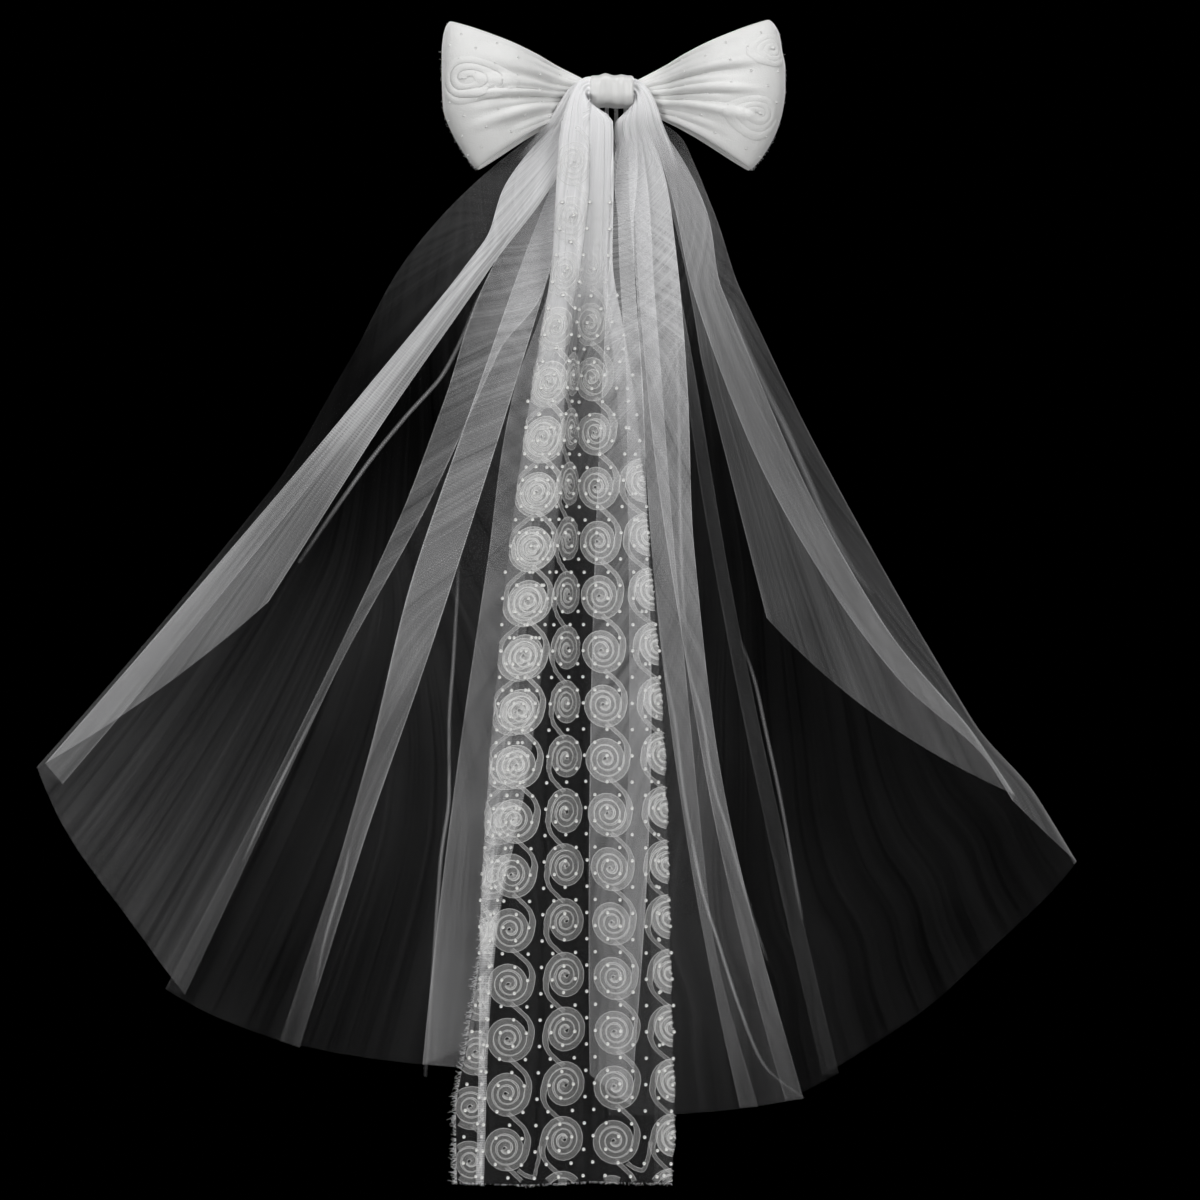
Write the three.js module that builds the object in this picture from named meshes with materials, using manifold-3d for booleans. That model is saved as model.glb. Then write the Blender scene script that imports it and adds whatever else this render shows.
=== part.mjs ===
// A bridal veil: a padded bow on a comb, tulle drawn through its knot and falling to both sides in long
// pleats, and a gathered panel of ribbon lace in front. Millimetres, +Z up. The front faces -Y, and the
// origin is the middle of the comb's flat back, where the veil pins on.
import * as THREE from "three";
import { mergeVertices } from "three/addons/utils/BufferGeometryUtils.js";
import Module from "manifold-3d";

// Driving dimensions
const CLEARANCE = 0.35; // between pieces that touch
const COMB_WIDTH = 58;
const COMB_THICKNESS = 2.6;
const SPINE_HEIGHT = 7;
const TOOTH_LENGTH = 36;
const TOOTH_WIDTH = 2.4;
const TOOTH_PITCH = 6;
const KNOT_WIDTH = 28; // along the bow
const KNOT_HEIGHT = 21.4;
const KNOT_DEPTH = 33;
const KNOT_WALL = 1.6;
const KNOT_CORNER = 0.2; // radius of its corners, as a share of its height
const CORNER_THINNING = 0.8; // how much of its wall the inner corners' radius loses
const LOOP_LENGTH = 96; // from the knot's edge to the end of a loop
const LOOP_HEIGHT = 97;
const LOOP_DEPTH = 46; // front to back, where a loop is fullest
const LOOP_WALL = 3; // padded cloth
const LOOP_SETBACK = 5.5; // from the comb's back plane to the back of a loop
const LOOP_CREASE = 2.4; // depth of the folds that run out from the knot
const NECK_WALLS = 7.2; // depth of a loop's two walls inside the knot
const TULLE_WALL = 1.1;
const LEFT_FALL = 640; // from the knot to the lowest hem
const RIGHT_FALL = 652;
const LEFT_DEPTH = 41; // front pleat to back pleat of the left fall, where it hangs loose
const RIGHT_DEPTH = 53;
const VEIL_SETBACK = 5; // from the comb's back plane to the rearmost pleat
const LOOSE_REACH = 200; // from the knot to where a fall has its whole depth
const WAVE_DEPTH = 22; // how far the hem swings forward
const WAVE_ANGLE = 13; // from one wave of the hem to the next, in degrees
const WAVE_FROM = 12; // the hem hangs straight below the knot up to this angle, in degrees
const WAVE_WHOLE = 22; // and swings its whole depth from this one on
const PANEL_ANGLE = 4.6; // between the points across a panel, in degrees
const BUNDLE_REACH = 36; // of the solid gathers below the knot
const BUNDLE_BULGE = 8; // how far they bow forward
const LACE_WALL = 1.1;
const LACE_NECK_DEPTH = 6.6; // gathered in the knot
const LACE_DROP = 703; // from the knot's middle to the cut edge
const LACE_WIDTH = 128; // at the cut edge
const LACE_DEPTH = 24; // of its deepest pleat
const LACE_BULGE = 9; // how far it bows forward over the bundle below the knot
const LACE_STEPS = 22; // rows along it
const ROSETTE_DIAMETER = 29;
const ROSETTE_PITCH = 35.1;
const RIBBON_THICKNESS = 1.3;
const RIBBON_WIDTH = 4.4;
const ROSETTE_GAP = 0.6; // between the ribbon and the lace
const ROSETTE_SIDES = 9;
const ROSETTE_ROOM = 0.88; // most that a rosette takes of the lace between two folds

// Places worked out from them
const RIGHT_ANGLE = Math.PI / 2;
const DEGREE = Math.PI / 180;
const KNOT_BACK = -(COMB_THICKNESS + CLEARANCE);
const KNOT_FRONT = KNOT_BACK - KNOT_DEPTH;
const KNOT_SIDE = KNOT_WIDTH / 2;
const NECK_BACK = KNOT_BACK - KNOT_WALL - CLEARANCE;
const NECK_FRONT = NECK_BACK - NECK_WALLS;
const NECK_HALF_HEIGHT = KNOT_HEIGHT / 2 - KNOT_WALL - CLEARANCE;
const GATHER_BACK = NECK_FRONT - CLEARANCE;
const LACE_FRONT = KNOT_FRONT + KNOT_WALL + CLEARANCE;
const LACE_NECK_BACK = LACE_FRONT + LACE_NECK_DEPTH;
const GATHER_FRONT = LACE_NECK_BACK + CLEARANCE;
const VEIL_BACK = -VEIL_SETBACK;
const LEFT_FRONT = VEIL_BACK - LEFT_DEPTH;
const RIGHT_FRONT = VEIL_BACK - RIGHT_DEPTH;
const FALL_TOP = -NECK_HALF_HEIGHT / 2;
const FOLD_TIP = TULLE_WALL / 2;
const SPREAD_FROM = LOOSE_REACH * 0.25; // reaches where the gathers start and end to spread backwards
const SPREAD_TO = LOOSE_REACH * 1.3;
const WAVE_REACH = LOOSE_REACH * 3; // where the hem's waves are whole
const MITRE_LIMIT = 0.6; // how sharp a corner of a wall may run out, as the cosine of half its turn
const LAST_CREASE = 0.8; // share of a loop where its creases end
const LOOP_EDGE_DEPTH = 0.62; // depth of a loop at its open edges, as a share of its middle
const LOOP_MIDDLE = (NECK_BACK + NECK_FRONT) / 2;
const LOOP_MIDDLE_OUT = -(LOOP_DEPTH / 2 + LOOP_SETBACK);

const wasm = await Module();
wasm.setup();

const satin = new THREE.MeshStandardMaterial({ color: 0xf4f3f0, roughness: 0.35, metalness: 0 });
const padded = new THREE.MeshStandardMaterial({ color: 0xf2f1ee, roughness: 0.8, metalness: 0 });
const tulle = new THREE.MeshStandardMaterial({ color: 0xe9e9ea, roughness: 0.9, metalness: 0 });
const net = new THREE.MeshStandardMaterial({ color: 0xe4e4e6, roughness: 0.9, metalness: 0 });
const ribbon = new THREE.MeshStandardMaterial({ color: 0xf7f6f3, roughness: 0.5, metalness: 0 });
const plastic = new THREE.MeshStandardMaterial({ color: 0xe8e8e8, roughness: 0.3, metalness: 0 });

// Closed geometry to solid and back
function solidOf(geometry) {
  const bare = geometry.clone();
  bare.deleteAttribute("normal");
  bare.deleteAttribute("uv");
  const merged = mergeVertices(bare, 1e-4);
  const vertProperties = new Float32Array(merged.attributes.position.array);
  const triVerts = new Uint32Array(merged.index.array);
  return new wasm.Manifold(new wasm.Mesh({ numProp: 3, vertProperties, triVerts }));
}

function geometryOf(solid) {
  const mesh = solid.getMesh();
  const geometry = new THREE.BufferGeometry();
  geometry.setAttribute("position", new THREE.BufferAttribute(mesh.vertProperties, 3));
  geometry.setIndex(new THREE.BufferAttribute(mesh.triVerts, 1));
  geometry.computeVertexNormals();
  return geometry;
}

// A value at a place along a table of [place, value] rows, straight between them
function along(rows, place) {
  if (place <= rows[0][0]) return rows[0][1];
  const last = rows.length - 1;
  if (place >= rows[last][0]) return rows[last][1];
  const i = rows.findIndex((row) => row[0] > place) - 1;
  const share = (place - rows[i][0]) / (rows[i + 1][0] - rows[i][0]);
  return THREE.MathUtils.lerp(rows[i][1], rows[i + 1][1], share);
}

// A closed wall between two grids of points, front and back, both given row by row
function wallBetween(front, back) {
  const rows = front.length;
  const columns = front[0].length;
  const positions = [...front.flat(), ...back.flat()].flatMap((p) => [p.x, p.y, p.z]);
  const at = (side, i, j) => side * rows * columns + i * columns + j;
  const index = [];
  const quad = (a, b, c, d) => index.push(a, b, c, a, c, d);
  for (let i = 0; i + 1 < rows; i++) {
    for (let j = 0; j + 1 < columns; j++) {
      quad(at(0, i, j), at(0, i + 1, j), at(0, i + 1, j + 1), at(0, i, j + 1));
      quad(at(1, i, j), at(1, i, j + 1), at(1, i + 1, j + 1), at(1, i + 1, j));
    }
    quad(at(0, i, 0), at(1, i, 0), at(1, i + 1, 0), at(0, i + 1, 0));
    const end = columns - 1;
    quad(at(0, i, end), at(0, i + 1, end), at(1, i + 1, end), at(1, i, end));
  }
  for (let j = 0; j + 1 < columns; j++) {
    const end = rows - 1;
    quad(at(0, 0, j), at(0, 0, j + 1), at(1, 0, j + 1), at(1, 0, j));
    quad(at(0, end, j), at(1, end, j), at(1, end, j + 1), at(0, end, j + 1));
  }
  const geometry = new THREE.BufferGeometry();
  geometry.setAttribute("position", new THREE.Float32BufferAttribute(positions, 3));
  geometry.setIndex(index);
  geometry.computeVertexNormals();
  return geometry;
}

// The two sides of a cross-section given as flat points, half a wall each way, with mitred corners
function bothSides(line, wall) {
  const normals = line.map((point, i) => {
    const before = line[Math.max(i - 1, 0)];
    const after = line[Math.min(i + 1, line.length - 1)];
    const first = point.clone().sub(before).normalize();
    const second = after.clone().sub(point).normalize();
    if (i === 0) first.copy(second);
    if (i === line.length - 1) second.copy(first);
    const direction = first.clone().add(second).normalize();
    const stretch = 1 / Math.max(direction.dot(second), MITRE_LIMIT);
    return new THREE.Vector2(direction.y, -direction.x).multiplyScalar((wall / 2) * stretch);
  });
  const side = (sign) => line.map((point, i) => point.clone().addScaledVector(normals[i], sign));
  return [side(1), side(-1)];
}

// Folded tulle. Each row is one fold or cut edge of the cloth, in order along it: how far it reaches, as a
// share of the fall, where it lies from front (0) to back (1), and its angle from straight down, in degrees,
// at shares of the fall. Angles lean outwards to the left below zero and to the right above it.
const LEFT_FOLDS = [
  {
    edge: "front cut edge",
    reach: 0.6,
    depth: 0,
    angle: [[0.06, -20], [0.2, -29.8], [0.42, -32.2], [1, -32.3]],
  },
  {
    edge: "outer fold of the flap",
    reach: 0.86,
    depth: 0.09,
    angle: [[0.06, -50], [0.12, -44], [0.18, -35.9], [0.37, -37.2], [0.64, -38.4], [1, -39.4]],
  },
  {
    edge: "stripe",
    reach: 0.865,
    depth: 0.18,
    angle: [[0.06, -22], [0.19, -32.4], [0.45, -35.4], [1, -37.8]],
  },
  {
    edge: "outermost fold",
    reach: 0.87,
    depth: 0.27,
    angle: [[0.06, -56], [0.12, -54], [0.24, -48.6], [0.36, -42.1], [0.51, -38.9], [0.6, -38.9], [1, -39.7]],
  },
  {
    edge: "first pleat, right",
    reach: 0.985,
    depth: 0.4,
    angle: [[0.06, -12], [0.2, -13.5], [0.27, -19.5], [0.43, -21.5], [0.64, -23.7], [1, -24.2]],
  },
  {
    edge: "first pleat, left",
    reach: 0.99,
    depth: 0.48,
    angle: [[0.06, -32], [0.22, -29.4], [0.34, -25.6], [0.47, -24.3], [1, -25.4]],
  },
  {
    edge: "second pleat, right",
    reach: 1,
    depth: 0.58,
    angle: [[0.06, -6], [0.19, -13.2], [0.38, -15.2], [0.6, -16.2], [0.79, -16.9], [1, -17]],
  },
  {
    edge: "second pleat, left",
    reach: 1,
    depth: 0.66,
    angle: [[0.06, -24], [0.3, -21.2], [0.5, -20.4], [0.7, -18.6], [0.85, -18.2], [1, -18.2]],
  },
  {
    edge: "behind the lace",
    reach: 0.985,
    depth: 0.8,
    angle: [[0.06, 0], [0.2, -8], [0.6, -7.6], [1, -6.6]],
  },
  {
    edge: "inner pleat, left",
    reach: 0.99,
    depth: 0.88,
    angle: [[0.06, -16], [0.18, -12.1], [0.3, -14.6], [0.48, -12.5], [0.66, -11.4], [1, -9.8]],
  },
  {
    edge: "back cut edge",
    reach: 0.965,
    depth: 1,
    angle: [[0.06, 0], [0.2, -6.5], [1, -7.2]],
  },
];
const RIGHT_FOLDS = [
  {
    edge: "front cut edge",
    reach: 0.53,
    depth: 0.2,
    angle: [[0.06, 20], [0.22, 15.4], [0.28, 14.2], [1, 14.2]],
  },
  {
    edge: "stripe, right",
    reach: 0.78,
    depth: 0.33,
    angle: [[0.06, 40], [0.13, 33], [0.21, 24.5], [0.37, 23.6], [0.57, 25.2], [0.72, 28], [1, 29.4]],
  },
  {
    edge: "stripe, left",
    reach: 0.785,
    depth: 0.46,
    angle: [[0.06, 24], [0.2, 17], [0.34, 18.2], [0.5, 21.3], [0.63, 24.4], [0.75, 28], [1, 28.6]],
  },
  {
    edge: "outermost fold",
    reach: 0.872,
    depth: 0.98,
    angle: [
      [0.06, 52], [0.09, 43], [0.13, 36.5], [0.22, 29.4], [0.39, 27.9], [0.7, 28.6], [0.8, 30], [1, 30.2],
    ],
  },
  {
    edge: "small pleat, left",
    reach: 0.985,
    depth: 0.76,
    angle: [[0.06, 14], [0.24, 10.8], [0.41, 9.8], [1, 11]],
  },
  {
    edge: "small pleat, right",
    reach: 0.985,
    depth: 0.68,
    angle: [[0.06, 22], [0.22, 13.2], [0.52, 11.3], [1, 11.9]],
  },
  {
    edge: "inner pleat, left",
    reach: 1,
    depth: 0.44,
    angle: [[0.06, 0], [0.24, 2.2], [0.37, 3.5], [0.52, 5], [0.75, 6.6], [1, 8.6]],
  },
  {
    edge: "inner pleat, right",
    reach: 1,
    depth: 0.38,
    angle: [[0.06, 24], [0.16, 15.2], [0.29, 10.5], [0.45, 7.6], [0.6, 7.2], [1, 9.6]],
  },
  {
    edge: "narrow pleat, left",
    reach: 1,
    depth: 0.3,
    angle: [[0.06, -4], [0.2, 1], [0.45, 2.3], [0.75, 4.2], [1, 6]],
  },
  {
    edge: "narrow pleat, right",
    reach: 1,
    depth: 0.24,
    angle: [[0.06, 10], [0.2, 6], [0.45, 5.1], [0.8, 5.3], [1, 7]],
  },
  {
    edge: "front pleat, left",
    reach: 1,
    depth: 0.15,
    angle: [[0.06, -18], [0.13, -6.6], [0.3, -1.3], [0.6, -0.4], [1, -1.4]],
  },
  {
    edge: "front pleat, right",
    reach: 0.99,
    depth: 0.08,
    angle: [[0.06, 4], [0.13, 0], [0.3, 1.8], [0.5, 1.8], [1, -0.2]],
  },
  {
    edge: "cut edge over the lace",
    reach: 0.96,
    depth: 0,
    angle: [[0.06, -8], [0.3, -5.4], [0.6, -4], [1, -2.4]],
  },
];
const FALL_STEPS = [0.04, 0.075, 0.115, 0.165, 0.225, 0.295, 0.375, 0.465, 0.565, 0.67, 0.78, 0.89, 1];
// The bundle below the knot: how far out, as a share of its reach, at which angles it lies and heads, its
// half width as a share of its reach, its depth as a share of the cloth's, and how far it bows forward, as
// a share of its bulge
const BUNDLE = [
  { reach: 0.3, lean: 60, heads: 70, wide: 0.235, deep: 0.86, forward: 0.4375 },
  { reach: 0.62, lean: 38, heads: 42, wide: 0.26, deep: 0.8, forward: 1 },
  { reach: 1.05, lean: 29, heads: 26, wide: 0.36, deep: 0.78, forward: 0.75 },
  { reach: 1.4, lean: 27, heads: 26, wide: 0.3, deep: 0.5, forward: 0.25 },
];
const GATHER_PLEATS = 5; // to each quarter of a gathered body
const PLEAT_RELIEF = 0.14; // of a gathered body's half width
const GATHER_ROUNDING = 0.6; // power of its outline, from a box (0) to an ellipse (1)
// The loops of the bow from the knot outwards: place, depth and how far the middle has come forward
const LOOP_STATIONS = [
  { inKnot: 0, out: 0, half: 0, middle: 0 },
  { inKnot: 1, out: 0, half: 0, middle: 0 },
  { inKnot: 1, out: 0.09, half: 0.03, middle: 0.02 },
  { inKnot: 1, out: 0.22, half: 0.2, middle: 0.12 },
  { inKnot: 1, out: 0.4, half: 0.68, middle: 0.72 },
  { inKnot: 1, out: 0.6, half: 0.95, middle: 1 },
  { inKnot: 1, out: 0.78, half: 1, middle: 1 },
  { inKnot: 1, out: 0.91, half: 0.8, middle: 1 },
  { inKnot: 1, out: 0.98, half: 0.48, middle: 1 },
  { inKnot: 1, out: 1, half: 0.14, middle: 1 },
];
// Each row is one line of a loop from its top edge to its bottom edge: where it ends, as shares of the
// loop's length and height, how much it bows up on the way, and its crease (in or out)
const LEFT_LOOP = [
  { length: 0.954, height: 0.476, sag: 0.045, crease: 0 },
  { length: 0.99, height: 0.37, sag: 0.04, crease: 1 },
  { length: 1, height: 0.25, sag: 0.035, crease: -0.6 },
  { length: 0.995, height: 0.12, sag: 0.02, crease: 0.7 },
  { length: 0.989, height: 0, sag: 0, crease: -1 },
  { length: 0.965, height: -0.13, sag: 0, crease: 0.9 },
  { length: 0.915, height: -0.27, sag: 0.01, crease: -0.7 },
  { length: 0.83, height: -0.4, sag: 0.02, crease: 0.8 },
  { length: 0.74, height: -0.5, sag: 0.03, crease: 0 },
];
const RIGHT_LOOP = [
  { length: 0.91, height: 0.485, sag: 0.045, crease: 0 },
  { length: 0.965, height: 0.38, sag: 0.04, crease: 0.8 },
  { length: 0.985, height: 0.26, sag: 0.03, crease: -0.8 },
  { length: 1, height: 0.13, sag: 0.02, crease: 1 },
  { length: 1, height: 0, sag: 0.01, crease: -0.7 },
  { length: 0.985, height: -0.13, sag: 0, crease: 0.8 },
  { length: 0.945, height: -0.27, sag: 0.01, crease: -1 },
  { length: 0.86, height: -0.41, sag: 0.02, crease: 0.7 },
  { length: 0.77, height: -0.51, sag: 0.03, crease: 0 },
];
// The folds of the lace in order across the cloth, each with its depth from front (0) to back (1), and the
// way that it turns there: 1 towards the back, -1 towards the front
const LACE_FOLDS = [
  { name: "cut", depth: 0.64, turns: 0 },
  { name: "inner", depth: 0.5, turns: -1 },
  { name: "left", depth: 0.36, turns: -1 },
  { name: "second", depth: 0, turns: 1 },
  { name: "third", depth: 1, turns: 1 },
  { name: "fourth", depth: 0.5, turns: 0 },
  { name: "right", depth: 0.42, turns: 1 },
  { name: "flap", depth: 0.78, turns: 0 },
];
// The lace from the knot to its cut edge: how far down as a share of its drop, how much it bows forward
// and is spread in depth, and the places of its folds as shares of its width, from the knot's middle
const LACE_COLUMNS = ["drop", "bulge", "spread", "cut", "inner", "left", "second", "third", "fourth",
  "right", "flap"];
const LACE_ROWS = [
  [0.029, 0.75, 0, -0.221, -0.206, -0.251, -0.109, -0.165, -0.058, -0.023, -0.069],
  [0.088, 1, 0.1, -0.241, -0.216, -0.277, -0.114, -0.17, -0.043, -0.016, -0.069],
  [0.153, 0.85, 0.3, -0.251, -0.221, -0.297, -0.15, -0.17, -0.048, -0.018, -0.069],
  [0.227, 0.45, 0.62, -0.282, -0.231, -0.358, -0.211, -0.175, -0.028, 0.069, -0.003],
  [0.31, 0.12, 0.9, -0.338, -0.241, -0.434, -0.241, -0.175, 0.018, 0.135, 0.043],
  [0.412, 0, 1, -0.404, -0.277, -0.51, -0.277, -0.17, 0.048, 0.185, 0.094],
  [0.513, 0, 1, -0.47, -0.338, -0.566, -0.302, -0.16, 0.074, 0.231, 0.129],
  [0.634, 0, 0.9, -0.556, -0.429, -0.622, -0.332, -0.14, 0.104, 0.272, 0.17],
  [0.772, 0, 0.75, -0.647, -0.576, -0.662, -0.353, -0.119, 0.14, 0.292, 0.195],
  [0.878, 0, 0.6, -0.739, -0.622, -0.668, -0.368, -0.104, 0.15, 0.307, 0.206],
  [0.939, 0, 0.5, -0.789, -0.632, -0.673, -0.383, -0.104, 0.145, 0.317, 0.216],
  [1, 0, 0.45, -0.784, -0.642, -0.683, -0.393, -0.109, 0.135, 0.302, 0.211],
].map((row) => Object.fromEntries(LACE_COLUMNS.map((name, i) => [name, row[i]])));
// The columns of rosettes: the folds that each lies between, how many, its lowest one above the cut edge
// and the side that the ribbon runs on, as shares of the rosette
const ROSETTE_COLUMNS = [
  { from: "left", to: "second", count: 14, lowest: 0.8, runs: 0.36 },
  { from: "second", to: "third", count: 10, lowest: 0.96, runs: -0.36 },
  { from: "third", to: "fourth", count: 15, lowest: 0.92, runs: 0.36 },
  { from: "fourth", to: "right", count: 6, lowest: 1.03, runs: -0.36 },
];

// How far forward and back the cloth of a fall lies at a reach from the knot
function depthRange(side, radius) {
  const forward = THREE.MathUtils.smoothstep(radius, 0, LOOSE_REACH);
  const backward = THREE.MathUtils.smoothstep(radius, SPREAD_FROM, SPREAD_TO);
  const front = side < 0 ? LEFT_FRONT : RIGHT_FRONT;
  return {
    front: THREE.MathUtils.lerp(GATHER_FRONT, front, forward),
    back: THREE.MathUtils.lerp(GATHER_BACK, VEIL_BACK, backward),
  };
}

// The slow waves of the whole fall, the same for every layer of it
function wave(angle, radius) {
  const grown = THREE.MathUtils.smoothstep(radius, LOOSE_REACH, WAVE_REACH);
  const outward = THREE.MathUtils.smoothstep(Math.abs(angle), WAVE_FROM, WAVE_WHOLE);
  return -WAVE_DEPTH * grown * outward * (1 + Math.sin((angle / WAVE_ANGLE) * Math.PI * 2)) * 0.5;
}

// A place in the fan of a fall, by its angle in degrees and its reach from the knot's side
function fallPoint(side, angle, radius) {
  const a = angle * DEGREE;
  return { x: side * KNOT_SIDE + radius * Math.sin(a), z: FALL_TOP - radius * Math.cos(a) };
}

// One row of points across a fall: the folds with their two tip points, and points between them
function fallRow(side, fall, folds, step) {
  const places = [];
  const place = (angle, radius, depth, tip) => {
    const { front, back } = depthRange(side, radius);
    const y = THREE.MathUtils.lerp(front, back, depth) + tip + wave(angle, radius);
    places.push({ angle, radius, flat: new THREE.Vector2(radius * angle * DEGREE, y) });
  };
  const at = folds.map((fold) => {
    const radius = fall * fold.reach * step;
    return { radius, depth: fold.depth, angle: along(fold.angle, radius / fall) };
  });
  at.forEach((fold, k) => {
    const next = at[k + 1];
    const before = at[k - 1];
    if (!next || !before) {
      place(fold.angle, fold.radius, fold.depth, 0);
    } else {
      const deeper = Math.sign(next.depth - before.depth);
      place(fold.angle, fold.radius, fold.depth, -deeper * FOLD_TIP);
      place(fold.angle, fold.radius, fold.depth, deeper * FOLD_TIP);
    }
    if (!next) return;
    const hemTurn = Math.abs(folds[k].angle.at(-1)[1] - folds[k + 1].angle.at(-1)[1]);
    const parts = Math.max(1, Math.round(hemTurn / PANEL_ANGLE));
    for (let i = 1; i < parts; i++) {
      const share = i / parts;
      const mixed = (name) => THREE.MathUtils.lerp(fold[name], next[name], share);
      place(mixed("angle"), mixed("radius"), mixed("depth"), 0);
    }
  });
  const sides = bothSides(places.map((p) => p.flat), TULLE_WALL);
  return sides.map((line) =>
    line.map((flat, j) => {
      const { angle, radius } = places[j];
      const { x, z } = fallPoint(side, angle, radius);
      const shift = flat.x - places[j].flat.x;
      const a = angle * DEGREE;
      return new THREE.Vector3(x + shift * Math.cos(a), flat.y, z + shift * Math.sin(a));
    }),
  );
}

// One fall as a closed wall
function fallWall(side, fall, folds) {
  const rows = FALL_STEPS.map((step) => fallRow(side, fall, folds, step));
  return wallBetween(rows.map((row) => row[0]), rows.map((row) => row[1]));
}

// A closed body through rings of points, each ring given by its centre, direction, half width and half depth
function gatheredBody(stations) {
  const count = 4 * GATHER_PLEATS;
  const round = (value) => Math.sign(value) * Math.abs(value) ** GATHER_ROUNDING;
  const rings = stations.map(({ centre, heading, halfWidth, halfDepth }) => {
    const across = new THREE.Vector3(-heading.z, 0, heading.x).normalize();
    return Array.from({ length: count }, (_, i) => {
      const turn = (i / count) * Math.PI * 2;
      const ridge = i % 2 ? 1 - PLEAT_RELIEF : 1;
      const point = centre.clone().addScaledVector(across, halfWidth * ridge * round(Math.cos(turn)));
      point.y += halfDepth * ridge * round(Math.sin(turn));
      return point;
    });
  });
  const positions = rings.flat().flatMap((p) => [p.x, p.y, p.z]);
  const index = [];
  const last = rings.length - 1;
  for (let r = 0; r < last; r++) {
    for (let i = 0; i < count; i++) {
      const [a, b] = [r * count + i, r * count + ((i + 1) % count)];
      index.push(a, b, b + count, a, b + count, a + count);
    }
  }
  for (const [ring, flip] of [[0, true], [last, false]]) {
    const centre = positions.length / 3;
    positions.push(...stations[ring].centre.toArray());
    for (let i = 0; i < count; i++) {
      const [a, b] = [ring * count + i, ring * count + ((i + 1) % count)];
      index.push(centre, flip ? b : a, flip ? a : b);
    }
  }
  const geometry = new THREE.BufferGeometry();
  geometry.setAttribute("position", new THREE.Float32BufferAttribute(positions, 3));
  geometry.setIndex(index);
  return outward(geometry);
}

// The tulle gathered through the knot, and out of it to one side
function tulleGathers(side) {
  const heading = (x, z) => new THREE.Vector3(x, 0, z).normalize();
  const middle = (radius) => {
    const { front, back } = depthRange(side, radius);
    return { y: (front + back) / 2, half: (back - front) / 2 };
  };
  const inKnot = middle(0);
  const stations = [];
  for (const x of [-CLEARANCE, KNOT_SIDE / 2, KNOT_SIDE + CLEARANCE]) {
    stations.push({
      centre: new THREE.Vector3(side * x, inKnot.y, 0),
      heading: heading(side, 0),
      halfWidth: NECK_HALF_HEIGHT,
      halfDepth: inKnot.half,
    });
  }
  for (const { reach, lean, heads, wide, deep, forward } of BUNDLE) {
    const radius = BUNDLE_REACH * reach;
    const { x, z } = fallPoint(side, side * lean, radius);
    const { y, half } = middle(radius);
    stations.push({
      centre: new THREE.Vector3(x, y - BUNDLE_BULGE * forward, z),
      heading: heading(side * Math.sin(heads * DEGREE), -Math.cos(heads * DEGREE)),
      halfWidth: BUNDLE_REACH * wide,
      halfDepth: half * deep,
    });
  }
  return gatheredBody(stations);
}

// The whole tulle: both falls and both bundles, one cloth through the knot
function tulleVeil() {
  const left = outward(fallWall(-1, LEFT_FALL, LEFT_FOLDS));
  const right = outward(fallWall(1, RIGHT_FALL, RIGHT_FOLDS));
  const veil = tulleGathers(-1).add(tulleGathers(1)).add(left).add(right);
  // The outer body alone, so that no pocket stays sealed between the pleats
  const [cloth] = veil.decompose().sort((one, other) => other.volume() - one.volume());
  return geometryOf(cloth);
}

// One loop of the bow: a padded tube of cloth, open above and below, pinched at the knot
function bowLoop(side, rows) {
  const stations = LOOP_STATIONS.map((row) => ({ ...row, sign: -1 }));
  const wholeWay = [...stations, ...stations.map((row) => ({ ...row, sign: 1 })).reverse()];
  const neckTop = NECK_HALF_HEIGHT - LOOP_WALL / 2;
  const neckHalf = (NECK_WALLS - LOOP_WALL) / 2 - CLEARANCE / 2;
  const fullHalf = (LOOP_DEPTH - LOOP_WALL) / 2;
  const { lerp } = THREE.MathUtils;
  const grid = wholeWay.map(({ inKnot, out, half, middle, sign }) =>
    rows.map((row, j) => {
      const down = j / (rows.length - 1);
      const sag = Math.sin(out * Math.PI) * row.sag * LOOP_HEIGHT;
      const fold = row.crease * Math.sin(Math.min(out / LAST_CREASE, 1) * Math.PI) * LOOP_CREASE;
      const rounded = lerp(1, LOOP_EDGE_DEPTH, (2 * down - 1) ** 2);
      const depth = lerp(neckHalf, fullHalf * rounded, half) - fold;
      return new THREE.Vector3(
        side * (lerp(CLEARANCE, KNOT_SIDE, inKnot) + LOOP_LENGTH * row.length * out),
        lerp(LOOP_MIDDLE, LOOP_MIDDLE_OUT, middle) + sign * depth,
        lerp(lerp(neckTop, -neckTop, down), LOOP_HEIGHT * row.height, out) + sag,
      );
    }),
  );
  return gridWall(grid, LOOP_WALL);
}

// A grid of points as a wall of even thickness, half of it to each side of the points
function gridWall(grid, wall) {
  const rows = grid.length;
  const columns = grid[0].length;
  const normal = (i, j) => {
    const down = grid[Math.min(i + 1, rows - 1)][j].clone().sub(grid[Math.max(i - 1, 0)][j]);
    const over = grid[i][Math.min(j + 1, columns - 1)].clone().sub(grid[i][Math.max(j - 1, 0)]);
    return down.cross(over).normalize();
  };
  const side = (sign) =>
    grid.map((row, i) =>
      row.map((point, j) => point.clone().addScaledVector(normal(i, j), (sign * wall) / 2)),
    );
  return wallBetween(side(1), side(-1));
}

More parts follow.
